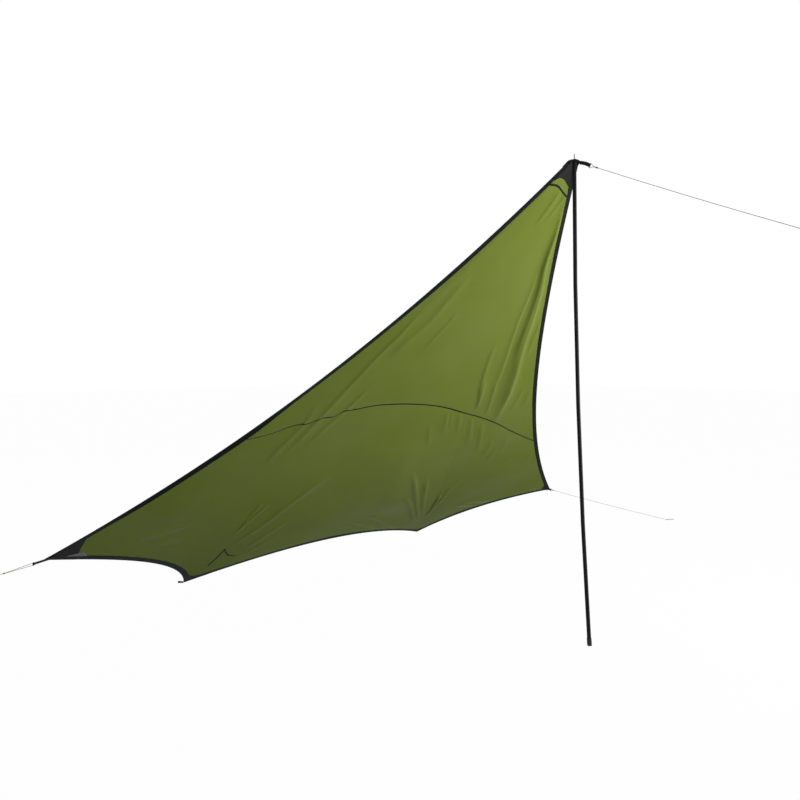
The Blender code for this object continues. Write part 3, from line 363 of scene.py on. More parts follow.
CANOPY_LENGTH = 3.1
FOLDS = (
    # places (y, x), spread to the left and to the right, height towards the sheltered side, fan
    # from the apex down the right half
    (((0.14, 0.085), (0.24, 0.112), (0.40, 0.163), (0.59, 0.217), (0.75, 0.288),
      (0.99, 0.377), (1.19, 0.442), (1.44, 0.541), (1.72, 0.650),
      (1.95, 0.735)), 0.052, 0.038, 0.031, 0.75),
    (((0.14, 0.078), (0.24, 0.106), (0.40, 0.158), (0.59, 0.209), (0.75, 0.273),
      (0.99, 0.352), (1.19, 0.414), (1.44, 0.512)), 0.016, 0.024, 0.0080, 0.55),
    (((0.60, 0.178), (0.71, 0.222), (0.99, 0.290), (1.37, 0.415),
      (1.70, 0.515)), 0.024, 0.007, 0.0080, 0.40),
    (((1.14, 0.230), (1.24, 0.252), (1.46, 0.322), (1.73, 0.442)), 0.014, 0.030, 0.0080, 0.40),
    (((0.98, 0.452), (1.36, 0.562)), 0.012, 0.025, 0.0052, 0.30),
    # short pulls under the apex
    (((0.12, 0.026), (0.26, 0.008), (0.38, -0.010)), 0.009, 0.018, 0.0040, 0.0),
    (((0.13, 0.078), (0.26, 0.059), (0.34, 0.042)), 0.008, 0.015, 0.0036, 0.0),
    # where those of the right half end above the seam
    (((1.48, 0.350), (1.78, 0.464)), 0.013, 0.013, 0.0070, 0.20),
    (((1.51, 0.448), (1.85, 0.586)), 0.013, 0.013, 0.0070, 0.20),
    (((1.54, 0.586), (1.76, 0.655), (1.96, 0.730)), 0.030, 0.018, 0.0085, 0.20),
    (((1.60, 0.725), (1.88, 0.795)), 0.012, 0.020, 0.0048, 0.20),
    (((1.65, 0.812), (1.83, 0.873)), 0.012, 0.018, 0.0042, 0.20),
    # under the seam's right half
    (((1.74, 0.232), (2.00, 0.348)), 0.018, 0.011, 0.0046, -0.20),
    (((1.74, 0.266), (1.95, 0.372)), 0.010, 0.008, 0.0032, -0.20),
    (((1.78, 0.348), (1.99, 0.459)), 0.014, 0.010, 0.0044, -0.20),
    (((1.83, 0.469), (2.13, 0.641)), 0.018, 0.012, 0.0050, -0.20),
    (((1.90, 0.597), (2.28, 0.817)), 0.020, 0.013, 0.0055, -0.20),
    # below the right half and beside the right wing
    (((1.87, 0.170), (2.08, 0.273)), 0.012, 0.020, 0.0042, 0.0),
    (((2.12, 0.834), (2.34, 0.908)), 0.016, 0.010, 0.0044, 0.0),
    (((2.21, 0.947), (2.43, 0.997)), 0.016, 0.010, 0.0044, 0.0),
    (((2.12, 0.966), (2.35, 1.040)), 0.014, 0.010, 0.0038, 0.0),
    (((2.40, 1.262), (2.52, 1.173)), 0.013, 0.010, 0.0036, 0.0),
    (((2.41, 1.385), (2.56, 1.438)), 0.012, 0.010, 0.0032, 0.0),
    # the fan out of the right ground corner
    (((2.33, 0.304), (2.71, 0.600), (3.03, 0.907)), 0.022, 0.012, 0.0160, -0.50),
    (((2.43, 0.498), (2.73, 0.692), (2.91, 0.845)), 0.018, 0.010, 0.0130, -0.45),
    (((2.61, 0.410), (3.04, 0.872)), 0.018, 0.011, 0.0126, -0.50),
    (((2.65, 0.808), (2.94, 0.900)), 0.015, 0.009, 0.0118, -0.45),
    (((2.60, 0.856), (2.82, 0.893)), 0.010, 0.008, 0.0050, -0.30),
    (((2.53, 0.895), (2.66, 0.876), (2.92, 0.907)), 0.010, 0.010, 0.0045, -0.40),
    # along the right wing's hem
    (((2.91, 1.190), (3.07, 1.620)), 0.014, 0.018, 0.0070, 0.0),
    (((2.92, 1.135), (3.08, 1.520)), 0.010, 0.012, 0.0052, 0.0),
    # from the apex down the left half
    (((0.68, -0.222), (0.89, -0.270), (1.06, -0.310), (1.17, -0.365),
      (1.36, -0.418)), 0.026, 0.050, 0.0110, 0.30),
    (((0.88, -0.370), (1.15, -0.440), (1.31, -0.500), (1.48, -0.552), (1.64, -0.603),
      (1.80, -0.655), (1.98, -0.716), (2.20, -0.790)), 0.012, 0.028, 0.0096, 0.30),
    (((1.46, -0.392), (1.60, -0.458), (1.72, -0.505), (1.86, -0.576),
      (2.07, -0.654)), 0.011, 0.024, 0.0082, 0.30),
    (((1.68, -0.715), (1.86, -0.744), (1.97, -0.785), (2.07, -0.829),
      (2.24, -0.870)), 0.012, 0.024, 0.0070, 0.30),
    (((0.94, -0.148), (1.26, -0.232)), 0.010, 0.022, 0.0048, 0.30),
    # towards the left ground corner
    (((2.22, -0.312), (2.32, -0.380), (2.47, -0.480), (2.57, -0.548), (2.67, -0.610),
      (2.76, -0.688), (2.90, -0.815)), 0.012, 0.034, 0.0100, -0.40),
    (((2.47, -0.652), (2.76, -0.812)), 0.016, 0.012, 0.0066, -0.30),
    (((2.46, -0.722), (2.71, -0.786)), 0.014, 0.012, 0.0052, -0.30),
    (((2.69, -0.430), (2.95, -0.676)), 0.018, 0.014, 0.0070, -0.30),
    (((2.88, -0.455), (3.02, -0.690)), 0.013, 0.012, 0.0042, -0.30),
    # above the back hem
    (((2.84, 0.250), (3.07, 0.652)), 0.014, 0.012, 0.0074, -0.30),
    (((2.91, 0.178), (3.06, 0.449)), 0.013, 0.011, 0.0064, -0.30),
    (((2.92, 0.082), (3.05, 0.274)), 0.012, 0.010, 0.0040, -0.30),
    # towards the left wing
    (((2.71, -1.232), (2.93, -1.641)), 0.013, 0.024, 0.0062, 0.0),
    (((2.86, -1.290), (2.95, -1.521)), 0.012, 0.020, 0.0052, 0.0),
    # two broad rolls of the whole cloth
    (((1.95, 0.080), (2.40, 0.230), (2.95, 0.520)), 0.240, 0.200, 0.0160, 0.0),
    (((1.70, -0.900), (2.30, -1.180), (2.90, -1.500)), 0.260, 0.180, 0.0120, 0.20),
)
FOLD_SHARPNESS = 1.5
FOLD_TAPER = 0.26
SLACK_HEIGHT = 0.0018
FINE_SLACK = 0.6
EDGE_CALM = 0.030
APEX_CALM = 0.03


def width_at(u):
    """Metres across the cloth: the top line's width, plus 2.60 u, plus 1.62 u^3."""
    return TOP_LINE_WIDTH + 2.60 * u + 1.62 * u**3


def ease(x):
    """3 x^2 - 2 x^3 between 0 and 1, level outside."""
    x = np.clip(x, 0, 1)
    return x * x * (3 - 2 * x)


def smooth_through(places, values, at):
    """A smooth line through set places: cubic pieces, each with the mean slope where they meet."""
    places, values = np.array(places), np.array(values)
    slopes_at = np.gradient(values, places)
    part = np.clip(np.searchsorted(places, at) - 1, 0, len(places) - 2)
    step = places[part + 1] - places[part]
    t = (at - places[part]) / step
    bend = (1 - t) * slopes_at[part] - t * slopes_at[part + 1]
    rise = values[part + 1] - values[part]
    return values[part] + t * rise + t * (1 - t) * (step * bend - (1 - 2 * t) * rise)


def fold_height(u, v):
    """The sum of the folds over a slow unevenness of the whole cloth, calmed at the sewn edges.

    A fold is top * exp(-(aside / spread)^1.5), with its own spread on each side, and it tapers
    off at both ends of its line. It widens and rises along the line where fan is above 0, and
    narrows and sinks where fan is below. The unevenness is a sum of two products of sines.
    """
    width = width_at(u)
    x, y = (v - 0.5) * width, u * CANOPY_LENGTH
    slow = np.sin(5.1 * v * width + 3.0 * u) * np.sin(9.7 * u + 2.3 * v)
    fine = np.sin(17 * v + 11 * u + 1.3) * np.sin(21 * u - 4 * v)
    height = SLACK_HEIGHT * (slow + FINE_SLACK * fine)
    for places, left, right, top, fan in FOLDS:
        down, across = np.array(places).T
        share = np.clip((y - down[0]) / (down[-1] - down[0]), 0, 1)
        near = np.clip(y, down[0], down[-1])
        lean = np.interp(near, down, np.gradient(across, down))
        aside = (x - smooth_through(down, across, near)) / np.hypot(1, lean)
        opened = 1 - abs(fan) * (1 - share if fan > 0 else share)
        reach = np.where(aside > 0, right, left) * opened
        ends = ease(share / FOLD_TAPER) * ease((1 - share) / FOLD_TAPER)
        height = height + top * opened * ends * np.exp(-((np.abs(aside) / reach) ** FOLD_SHARPNESS))
    sides = ease(v * width / EDGE_CALM) * ease((1 - v) * width / EDGE_CALM)
    lower = ease((1 - u) * CANOPY_LENGTH / EDGE_CALM)
    return height * sides * lower * ease((u - APEX_CALM) / APEX_CALM)


def canopy_point(u, v, off):
    """The taut surface, moved along its normal by the folds and by off metres."""
    u, v = np.broadcast_arrays(np.asarray(u, float), np.asarray(v, float))
    return taut_point(u, v) + underside(u, v) * (fold_height(u, v) + off)[..., None]


# Where sewn pieces end
#
# A tape's width in metres becomes a share of v along the long edges, and a share of u along the
# lower ones. The shares q run from the left binding (0) to the right one (1).

BINDING_WIDTH = 0.028
WING_BINDING_WIDTH = 0.034
HEM_WIDTH = 0.027
SEWN_GAP = 0.0004
TUCK = 0.010
CANOPY_LENGTH_SCALE = 3.0
LEFT_PATCH_SIDE = 0.205
LEFT_PATCH_BASE = 0.180
RIGHT_PATCH_SIDE = 0.130
RIGHT_PATCH_BASE = 0.095
LEFT_GROUND_PATCH = (0.100, 0.145)
LEFT_GROUND_PATCH_HEIGHT = 0.048
RIGHT_GROUND_PATCH = (0.070, 0.075)
RIGHT_GROUND_PATCH_HEIGHT = 0.038


def side_inset(u, width, right=False):
    """A width from a long edge as a share of v: width over the surface's stretch square to u."""
    along, across = slopes(u, np.full_like(u, 1.0 if right else 0.0))
    return width / np.linalg.norm(np.cross(across, unit(along)), axis=-1)


def lower_inset(v, width):
    """A width from the lower edge as a share of u: width over the stretch square to v."""
    along, across = slopes(np.ones_like(v), v)
    return width / np.linalg.norm(np.cross(along, unit(across)), axis=-1)


def between_bindings(u, q, width=BINDING_WIDTH + SEWN_GAP):
    """v at the share q of the way from the left binding to the right one."""
    left = side_inset(u, width)
    return left + (1 - left - side_inset(u, width, right=True)) * q


def share_of(v):
    """The share q at the lower edge for one v."""
    first, last = between_bindings(np.ones(2), np.array([0.0, 1.0]))
    return float((v - first) / (last - first))


left_metres = np.linalg.norm(GROUND_L - WING_L) / LEFT_GROUND_V
back_metres = np.linalg.norm(GROUND_R - GROUND_L) / (RIGHT_GROUND_V - LEFT_GROUND_V)
right_metres = np.linalg.norm(WING_R - GROUND_R) / (1 - RIGHT_GROUND_V)
STOPS = [
    0.0,
    share_of(LEFT_PATCH_BASE / left_metres),
    share_of(LEFT_GROUND_V - LEFT_GROUND_PATCH[0] / left_metres),
    share_of(LEFT_GROUND_V),
    share_of(LEFT_GROUND_V + LEFT_GROUND_PATCH[1] / back_metres),
    share_of(RIGHT_GROUND_V - RIGHT_GROUND_PATCH[0] / back_metres),
    share_of(RIGHT_GROUND_V),
    share_of(RIGHT_GROUND_V + RIGHT_GROUND_PATCH[1] / right_metres),
    share_of(1 - RIGHT_PATCH_BASE / right_metres),
    1.0,
]


def lower_border(q):
    """u where the open cloth ends: above the tapes, and higher above each corner patch."""
    v = between_bindings(np.ones_like(q), q)
    tape = lower_inset(v, np.where(q < STOPS[3], WING_BINDING_WIDTH, HEM_WIDTH))
    left = LEFT_PATCH_SIDE / EDGE_LENGTH * np.clip(1 - q / STOPS[1], 0, 1)
    right = RIGHT_PATCH_SIDE / EDGE_LENGTH * np.clip(1 - (1 - q) / (1 - STOPS[8]), 0, 1)
    one = LEFT_GROUND_PATCH_HEIGHT / CANOPY_LENGTH_SCALE * np.interp(q, STOPS[2:5], [0, 1, 0])
    two = RIGHT_GROUND_PATCH_HEIGHT / CANOPY_LENGTH_SCALE * np.interp(q, STOPS[5:8], [0, 1, 0])
    return 1 - np.maximum.reduce([tape, left, right, one, two])


SEAM_PLACES = (
    # share across the cloth, metres from the top; the left part climbs in steps where folds cross
    (0.0, 2.040), (0.03, 2.000), (0.062, 1.952), (0.084, 1.905), (0.110, 1.872), (0.144, 1.838),
    (0.152, 1.812), (0.176, 1.794), (0.200, 1.772), (0.208, 1.738), (0.230, 1.724), (0.252, 1.712),
    (0.282, 1.694), (0.316, 1.677), (0.38, 1.667), (0.50, 1.675), (0.60, 1.709), (0.68, 1.763),
    (0.77, 1.841), (0.86, 1.967), (0.917, 2.087), (0.943, 2.146), (0.968, 2.209), (1.0, 2.290),
)
APEX_PATCH_SHARES = (0.0, 0.12, 0.25, 0.45, 0.75, 1.0)
APEX_PATCH_LENGTHS = (0.112, 0.106, 0.092, 0.089, 0.104, 0.130)


def border_through(shares, lengths):
    """A border: u at any share q, on a smooth line through lengths from the top at set shares."""
    return lambda q: smooth_through(shares, lengths, q) / EDGE_LENGTH


def moved(border, metres):
    """A border moved down the cloth by some metres."""
    return lambda q: border(q) + metres / CANOPY_LENGTH_SCALE


seam_line = border_through(*np.array(SEAM_PLACES).T)
apex_border = border_through(APEX_PATCH_SHARES, APEX_PATCH_LENGTHS)


# Panels
#
# Two panels of green coated nylon, a plain fine weave with a dull shine. Both are pulled smooth
# and hang in long soft folds towards the corners; the lower one is the wider.

CLOTH_THICKNESS = 0.0006
CLOTH_GREEN = (0.158, 0.200, 0.043)
CLOTH_DEEP = (0.142, 0.184, 0.025)
SEAM_WIDTH = 0.007
PANEL_UNDER_SEAM = 0.003
COLUMNS = (34, 50, 16, 16, 90, 16, 16, 50, 34)
UPPER_ROWS = 150
LOWER_ROWS = 128


def run_along(points):
    """Metres run so far at each point of a line."""
    steps = np.linalg.norm(np.diff(points, axis=0), axis=-1)
    return np.concatenate([[0], np.cumsum(steps)])


def set_uv(mesh, places):
    """The UV map in metres: one place for each corner of each face."""
    uv = mesh.uv_layers.new(name="metres")
    uv.data.foreach_set("uv", places.astype(np.float32).ravel())


def tarp_piece(name, mesh, material, node):
    """The mesh as a piece of the tarp, with its material and the node it stands for."""
    mesh.update()
    mesh.materials.append(material)
    made = add_object(name, mesh)
    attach(made, "tarp")
    if node:
        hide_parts(node)
    return made


def sheet_piece(name, points, thickness, material, node=None):
    """A sheet on a grid of points, walled by Solidify to both sides.

    UV: u is the run along each row from its middle, v the run down the middle column.
    """
    rows, columns = points.shape[:2]
    index = np.arange(rows * columns).reshape(rows, columns)
    quads = np.stack([index[:-1, :-1], index[:-1, 1:], index[1:, 1:], index[1:, :-1]], -1)
    mesh = bpy.data.meshes.new(name)
    mesh.from_pydata(points.reshape(-1, 3), [], quads.reshape(-1, 4))
    middle = columns // 2
    steps = np.linalg.norm(np.diff(points, axis=1), axis=-1)
    across = np.concatenate([np.zeros((rows, 1)), np.cumsum(steps, 1)], 1)
    across = across - across[:, middle : middle + 1]
    down = run_along(points[:, middle])[:, None] + np.zeros((1, columns))
    set_uv(mesh, np.stack([across, down], -1).reshape(-1, 2)[quads.ravel()])
    mesh.shade_smooth()
    made = tarp_piece(name, mesh, material, node)
    wall = made.modifiers.new("wall", "SOLIDIFY")
    wall.thickness = thickness
    wall.offset = 0.0
    wall.use_even_offset = True
    return made


def region(borders, rows, q, off=0.0):
    """A grid of canopy points at the shares q, rows steps from each border to the next."""
    u = [borders[0](q)[None]]
    for one, two, count in zip(borders, borders[1:], rows):
        down = np.linspace(0, 1, count + 1)[1:, None]
        u.append(one(q) * (1 - down) + two(q) * down)
    u = np.concatenate(u)
    inside = BINDING_WIDTH - TUCK
    return canopy_point(u, between_bindings(u, np.broadcast_to(q, u.shape), inside), off)


def spaced(stops, counts):
    """Shares with every stop among them and counts steps between each two."""
    parts = [np.linspace(a, b, n, endpoint=False) for a, b, n in zip(stops, stops[1:], counts)]
    return np.concatenate([*parts, [stops[-1]]])


green_nylon, tree, shader = finish("green_nylon", 0.62, specular=0.0, sheen=0.46)
shader.inputs["Sheen Roughness"].default_value = 0.30
drift = noise(tree, 1.6, 4, "UV")
colour_along(tree, shader, drift, (0.30, CLOTH_DEEP), (0.70, CLOTH_GREEN))
weave = (620, 620, 1)
threads = combine(tree, "ADD", waves(tree, weave, "X"), waves(tree, weave, "Y"))
threads = combine(tree, "MULTIPLY", threads, 0.03)
crinkle = noise(tree, 26.0, 5, "UV", (1.0, 0.35, 1), 0.6)
relief(tree, shader, combine(tree, "ADD", crinkle, threads), 0.0012, 0.45)

columns = spaced(STOPS, COLUMNS)
off_line = SEAM_WIDTH / 2 - PANEL_UNDER_SEAM
upper_borders = (moved(apex_border, -TUCK), moved(seam_line, -off_line))
upper_points = region(upper_borders, (UPPER_ROWS,), columns)
upper_panel = sheet_piece(
    "upper_panel", upper_points, CLOTH_THICKNESS, green_nylon, "canopy_upper_panel"
)
lower_borders = (moved(seam_line, off_line), moved(lower_border, TUCK))
lower_points = region(lower_borders, (LOWER_ROWS,), columns)
lower_panel = sheet_piece(
    "lower_panel", lower_points, CLOTH_THICKNESS, green_nylon, "canopy_lower_panel"
)


# Felled seam
#
# The panels join in one felled seam, sewn flat: a dark green ridge 9 mm wide, with black thread
# that shows through in places.

SEAM_EDGE = 0.001
SEAM_THICKNESS = 0.0018
SEAM_GREEN = (0.024, 0.034, 0.007)
SEAM_THREAD = (0.0050, 0.0060, 0.0030)

seam_fell, tree, shader = finish("seam_fell", 0.8, specular=0.0)
pulls = noise(tree, 1.0, 3, "UV", (5.0, 1, 1))
colour_along(tree, shader, pulls, (0.46, SEAM_GREEN), (0.60, SEAM_THREAD))
stitches = waves(tree, (300, 1, 1), "X")
relief(tree, shader, stitches, 0.0003, 0.6)

half_fell = SEAM_WIDTH / 2 + SEAM_EDGE
fell_borders = (moved(seam_line, -half_fell), seam_line, moved(seam_line, half_fell))
fell_points = region(fell_borders, (2, 2), columns)
seam = sheet_piece("felled_seam", fell_points, SEAM_THICKNESS, seam_fell, "panel_seam")


# Cross tape and corner seam
#
# A plain black tape 11 mm wide crosses the cloth under the apex, and a short bent seam, bound in
# the same black tape, stiffens it above the left ground corner. Both are sewn on its inner side.

TAPE_BLACK = (0.0036, 0.0036, 0.0041)
TAPE_GREY = (0.0085, 0.0085, 0.0095)
SEWN_ON = 0.0009
CROSS_TAPE_SHARES = (0.0, 0.20, 0.50, 0.71, 1.0)
CROSS_TAPE_LENGTHS = (0.1265, 0.1240, 0.1280, 0.1455, 0.1745)
CROSS_TAPE_WIDTH = 0.011
CROSS_TAPE_THICKNESS = 0.0008
CORNER_SEAM_PLACES = (
    # metres below the top line, metres right of the cloth's middle
    (3.000, -0.873), (2.958, -0.846), (2.918, -0.829), (2.883, -0.814), (2.862, -0.811),
    (2.884, -0.801), (2.938, -0.768), (2.966, -0.732), (2.984, -0.698),
)
CORNER_SEAM_WIDTHS = (0.008, 0.011, 0.010, 0.009, 0.006, 0.007, 0.008, 0.006, 0.004)
CORNER_SEAM_THICKNESS = 0.0012
CORNER_SEAM_STATIONS = 70
SHARP_DEG = 50


def catmull_rom(a, b, c, d, t):
    """The curve from b to c for t from 0 to 1, with the slopes (c - a) / 2 and (d - b) / 2."""
    square, cube = 2 * a - 5 * b + 4 * c - d, 3 * b - a - 3 * c + d
    return 0.5 * (2 * b + (c - a) * t + square * t**2 + cube * t**3)


def past_ends(rows):
    """The rows with one more at each end, straight on from the last two."""
    return np.concatenate([2 * rows[:1] - rows[1:2], rows, 2 * rows[-1:] - rows[-2:-1]])


def smooth_line(points, count):
    """Evenly spread points on a Catmull-Rom curve through given ones."""
    points = np.array(points, float)
    ends = past_ends(points)
    t = np.linspace(0, 1, 24, endpoint=False)[:, None, None]
    fine = catmull_rom(*(ends[k : len(ends) - 3 + k][None] for k in range(4)), t)
    fine = np.concatenate([fine.transpose(1, 0, 2).reshape(-1, points.shape[1]), points[-1:]])
    run = run_along(fine)
    at = np.linspace(0, run[-1], count)
    return np.stack([np.interp(at, run, axis) for axis in fine.T], -1)


def on_cloth(places, off):
    """Points of the canopy at places (y, x) of the flat cloth, off metres above it."""
    down = places[..., 0] / CANOPY_LENGTH
    return canopy_point(down, 0.5 + places[..., 1] / width_at(down), off)


def closed_mesh(name, rings):
    """A closed outline carried along a run: rings (stations, outline, xyz), capped at both ends."""
    stations, sides = rings.shape[:2]
    index = np.arange(stations * sides).reshape(stations, sides)
    after = np.roll(index, -1, axis=1)
    quads = np.stack([index[:-1], after[:-1], after[1:], index[1:]], -1).reshape(-1, 4)
    caps = [index[0][::-1].tolist(), index[-1].tolist()]
    mesh = bpy.data.meshes.new(name)
    mesh.from_pydata(rings.reshape(-1, 3), [], [*quads.tolist(), *caps])
    return mesh


def carried_profile(name, rings, material, slot, node):
    """A closed outline carried along a run, as a piece of the tarp.

    UV: u is the run along the piece, v the run round the outline, both in metres.
    """
    mesh = closed_mesh(name, rings)
    near, far = run_along(rings[:, 0])[:-1, None], run_along(rings[:, 0])[1:, None]
    around = run_along(np.concatenate([rings[0], rings[0][:1]]))
    one, two = around[:-1], around[1:]
    corners = [(near, one), (near, two), (far, two), (far, one)]
    walls = np.stack([np.stack(np.broadcast_arrays(*corner), -1) for corner in corners], -2)
    set_uv(mesh, np.concatenate([walls.reshape(-1, 2), np.zeros((2 * rings.shape[1], 2))]))
    mesh.shade_smooth()
    mesh.set_sharp_from_angle(angle=math.radians(SHARP_DEG))
    return tarp_piece(name, mesh, material, node)


black_tape, tree, shader = finish("black_tape", 0.75, specular=0.08, sheen=0.02)
lint = noise(tree, 45.0, 5)
colour_along(tree, shader, lint, (0.35, TAPE_BLACK), (0.75, TAPE_GREY))
ribs = waves(tree, (700, 700, 1), "X")
uneven = combine(tree, "ADD", ribs, combine(tree, "MULTIPLY", lint, 2.0))
relief(tree, shader, uneven, 0.0002, 0.6)

cross_top = border_through(CROSS_TAPE_SHARES, CROSS_TAPE_LENGTHS)
cross_borders = (cross_top, moved(cross_top, CROSS_TAPE_WIDTH))
cross_points = region(cross_borders, (4,), columns, SEWN_ON)
cross_tape = sheet_piece(
    "cross_tape", cross_points, CROSS_TAPE_THICKNESS, black_tape, "apex_cross_tape"
)

path = smooth_line(CORNER_SEAM_PLACES, CORNER_SEAM_STATIONS)
shares = np.linspace(0, 1, CORNER_SEAM_STATIONS)
widths = np.interp(shares, np.linspace(0, 1, len(CORNER_SEAM_WIDTHS)), CORNER_SEAM_WIDTHS)
tangent = unit(np.gradient(path, axis=0))
aside = np.stack([-tangent[:, 1], tangent[:, 0]], -1) * widths[:, None]
upper_side = [(0.5, 0.25), (0.35, 0.5), (0, 0.5), (-0.35, 0.5), (-0.5, 0.25)]
outline = np.array([*upper_side, *[(x, -z) for x, z in upper_side[::-1]]])
places = path[:, None] + aside[:, None] * outline[None, :, :1]
rings = on_cloth(places, SEWN_ON + outline[:, 1] * CORNER_SEAM_THICKNESS)
corner_seam = carried_profile("corner_seam", rings, black_tape, "tape", "left_corner_seam")


# Edge bindings and hems
#
# Black woven tape folded over the cloth's edge and sewn through: 28 mm on the long edges, 34 mm on
# the left wing, 27 mm along the back and the right wing. Each is one fold, the cloth inside it.

TAPE_THICKNESS = 0.0022
PLY = 0.00065
FOLD_STEPS = 7
TAPE_TUCK = 0.006
LONG_EDGE_STATIONS = 360
ENDS = between_bindings(np.ones(len(STOPS)), np.array(STOPS))


def folded_profile(width):
    """A closed outline (inset, height): two plies joined by a half round fold at the edge."""
    half = TAPE_THICKNESS / 2
    inner = half - PLY
    turns = np.linspace(np.pi / 2, 3 * np.pi / 2, FOLD_STEPS)
    fold = np.stack([half + half * np.cos(turns), half * np.sin(turns)], -1)
    inside = np.stack([half + inner * np.cos(turns), inner * np.sin(turns)], -1)[::-1]
    top = [(width * s, half) for s in (1.0, 0.85, 0.6, 0.35)]
    bottom = [(width * s, -half) for s in (0.35, 0.6, 0.85, 1.0)]
    back = [(width * s, -inner) for s in (1.0, 0.6)]
    out = [(width * s, inner) for s in (0.6, 1.0)]
    return np.concatenate([top, fold, bottom, back, inside, out])


def lower_tape(name, first, last, width, stations, node):
    """A folded tape along the lower edge, between two of the stops.

    Both of its ends are tucked under the patches there.
    """
    outline = folded_profile(width)
    v = np.linspace(ENDS[first] - TAPE_TUCK, ENDS[last] + TAPE_TUCK, stations)[:, None]
    v = v + np.zeros((1, len(outline)))
    rings = canopy_point(1 - lower_inset(v, outline[:, 0]), v, outline[:, 1])
    return carried_profile(name, rings, black_tape, "tape", node)


outline = folded_profile(BINDING_WIDTH)
u = np.linspace(0, 1, LONG_EDGE_STATIONS)[:, None] + np.zeros((1, len(outline)))
rings = canopy_point(u, side_inset(u, outline[:, 0]), outline[:, 1])
carried_profile("left_edge_binding", rings, black_tape, "tape", "binding_left_edge")
rings = canopy_point(u, 1 - side_inset(u, outline[:, 0], right=True), outline[:, 1])[:, ::-1]
carried_profile("right_edge_binding", rings, black_tape, "tape", "binding_right_edge")
lower_tapes = [
    lower_tape("left_wing_binding", 1, 2, WING_BINDING_WIDTH, 90, "binding_left_wing"),
    lower_tape("back_hem_tape", 4, 5, HEM_WIDTH, 150, "back_hem"),
    lower_tape("right_wing_hem_tape", 7, 8, HEM_WIDTH, 90, "right_wing_hem"),
]


# Corner patches
#
# Black reinforcement patches of coated cloth, two plies with turned edges, sewn over the corners
# where the straps pull: one at the apex, one on each wing and one on each ground corner.

PATCH_BLACK = (0.0032, 0.0032, 0.0036)
PATCH_WORN = (0.0095, 0.0095, 0.0105)

black_patch, tree, shader = finish("black_patch", 0.62, specular=0.08)
mottle = noise(tree, 55.0, 5, "UV", (1, 0.5, 1))
colour_along(tree, shader, mottle, (0.35, PATCH_BLACK), (0.8, PATCH_WORN))
threads = waves(tree, (500, 500, 1), "DIAGONAL")
uneven = combine(tree, "ADD", combine(tree, "MULTIPLY", threads, 0.05), mottle)
relief(tree, shader, uneven, 0.0012, 0.6)


def patch(place, top, bottom, rows, first, last, counts):
    """A patch between two borders, from one of the stops to another."""
    points = region((top, bottom), (rows,), spaced(STOPS[first : last + 1], counts))
    thickness, node = TAPE_THICKNESS, f"{place}_patch"
    return sheet_piece(f"{place}_reinforcement", points, thickness, black_patch, node)


apex_columns = (6, 8, 4, 4, 14, 4, 4, 8, 6)
apex_patch = patch("apex", np.zeros_like, apex_border, 24, 0, 9, apex_columns)
lower_patches = [
    patch("left_wing", lower_border, np.ones_like, 16, 0, 1, (22,)),
    patch("right_wing", lower_border, np.ones_like, 16, 8, 9, (22,)),
    patch("left_ground", lower_border, np.ones_like, 12, 2, 4, (14, 14)),
    patch("right_ground", lower_border, np.ones_like, 12, 5, 7, (14, 14)),
]


# Painted highlight on the left wing
#
# A small three-cornered sheet of light grey beside the left wing's patch: a painted highlight, the
# light caught by a folded facet of the patch's black cloth. With it the two panels are complete,
# each with the tapes and patches that are sewn to it.

HIGHLIGHT_CORNERS = np.array([(3.070, -2.035), (3.028, -1.928), (3.064, -1.912)])
HIGHLIGHT_LIFT = 0.0020
HIGHLIGHT_THICKNESS = 0.0008
# The greys of the painted highlight stand in for light on the black patch's folded facet.
HIGHLIGHT_GREY_DULL = (0.150, 0.150, 0.158)
HIGHLIGHT_GREY_PALE = (0.210, 0.210, 0.220)

# A finish that paints that highlight; it is not a cloth of the tarp.
painted_highlight, tree, shader = finish("painted_highlight_grey", 0.7, specular=0.15)
blur = noise(tree, 70.0, 4, "UV")
colour_along(tree, shader, blur, (0.3, HIGHLIGHT_GREY_DULL), (0.8, HIGHLIGHT_GREY_PALE))
twill = waves(tree, (600, 600, 1), "DIAGONAL")
relief(tree, shader, twill, 0.0001, 0.5)

across, down = np.linspace(0, 1, 25)[None, :, None], np.linspace(0, 1, 9)[:, None, None]
tip, top, low = HIGHLIGHT_CORNERS
places = tip + (top - tip) * across * (1 - down) + (low - tip) * across * down
highlight_points = on_cloth(places[:, 1:], HIGHLIGHT_LIFT)
# The sheet that carries the painted highlight, lying just off the cloth.
highlight_sheet = sheet_piece("left_wing_painted_highlight", highlight_points, HIGHLIGHT_THICKNESS, painted_highlight)


# Apex beak
#
# A stiff doubled piece of black webbing cloth that covers the top line and the pole's tip. It
# carries the eyelet and narrows forwards to the strap that the front guyline pulls.

BEAK_THICKNESS = 0.0020
BEAK_FLAT = 0.0130
BEAK_FRONT = 0.035
BEAK_FRONT_WIDTH = 0.016
BEAK_NECK = 0.52
BEAK_DROOP = 0.012
BEAK_SIDE_DROOP = 0.020
BEAK_SWEEP = 0.006
BEAK_DIP = 0.013
BEAK_OVERLAP = 0.024
BEAK_LIFTS = (0.0006, 0.0006, 0.0016)
BEAK_COLUMNS = 61
BEAK_ROWS = 73
EYELET_HOLE = 0.0071
PUNCH_HALF = 0.004
PUNCH_SIDES = 32
WEBBING_BLACK = (0.0055, 0.0055, 0.006)
WEBBING_WORN = (0.015, 0.015, 0.016)

black_webbing, tree, shader = finish("black_webbing", 0.8, specular=0.18, sheen=0.03)
fluff = noise(tree, 80.0, 5)
colour_along(tree, shader, fluff, (0.3, WEBBING_BLACK), (0.8, WEBBING_WORN))
rib = waves(tree, (420, 420, 1), "Y")
pick = waves(tree, (300, 300, 1), "X")
uneven = combine(tree, "ADD", combine(tree, "MULTIPLY", rib, pick), fluff)
relief(tree, shader, uneven, 0.0004, 0.7)


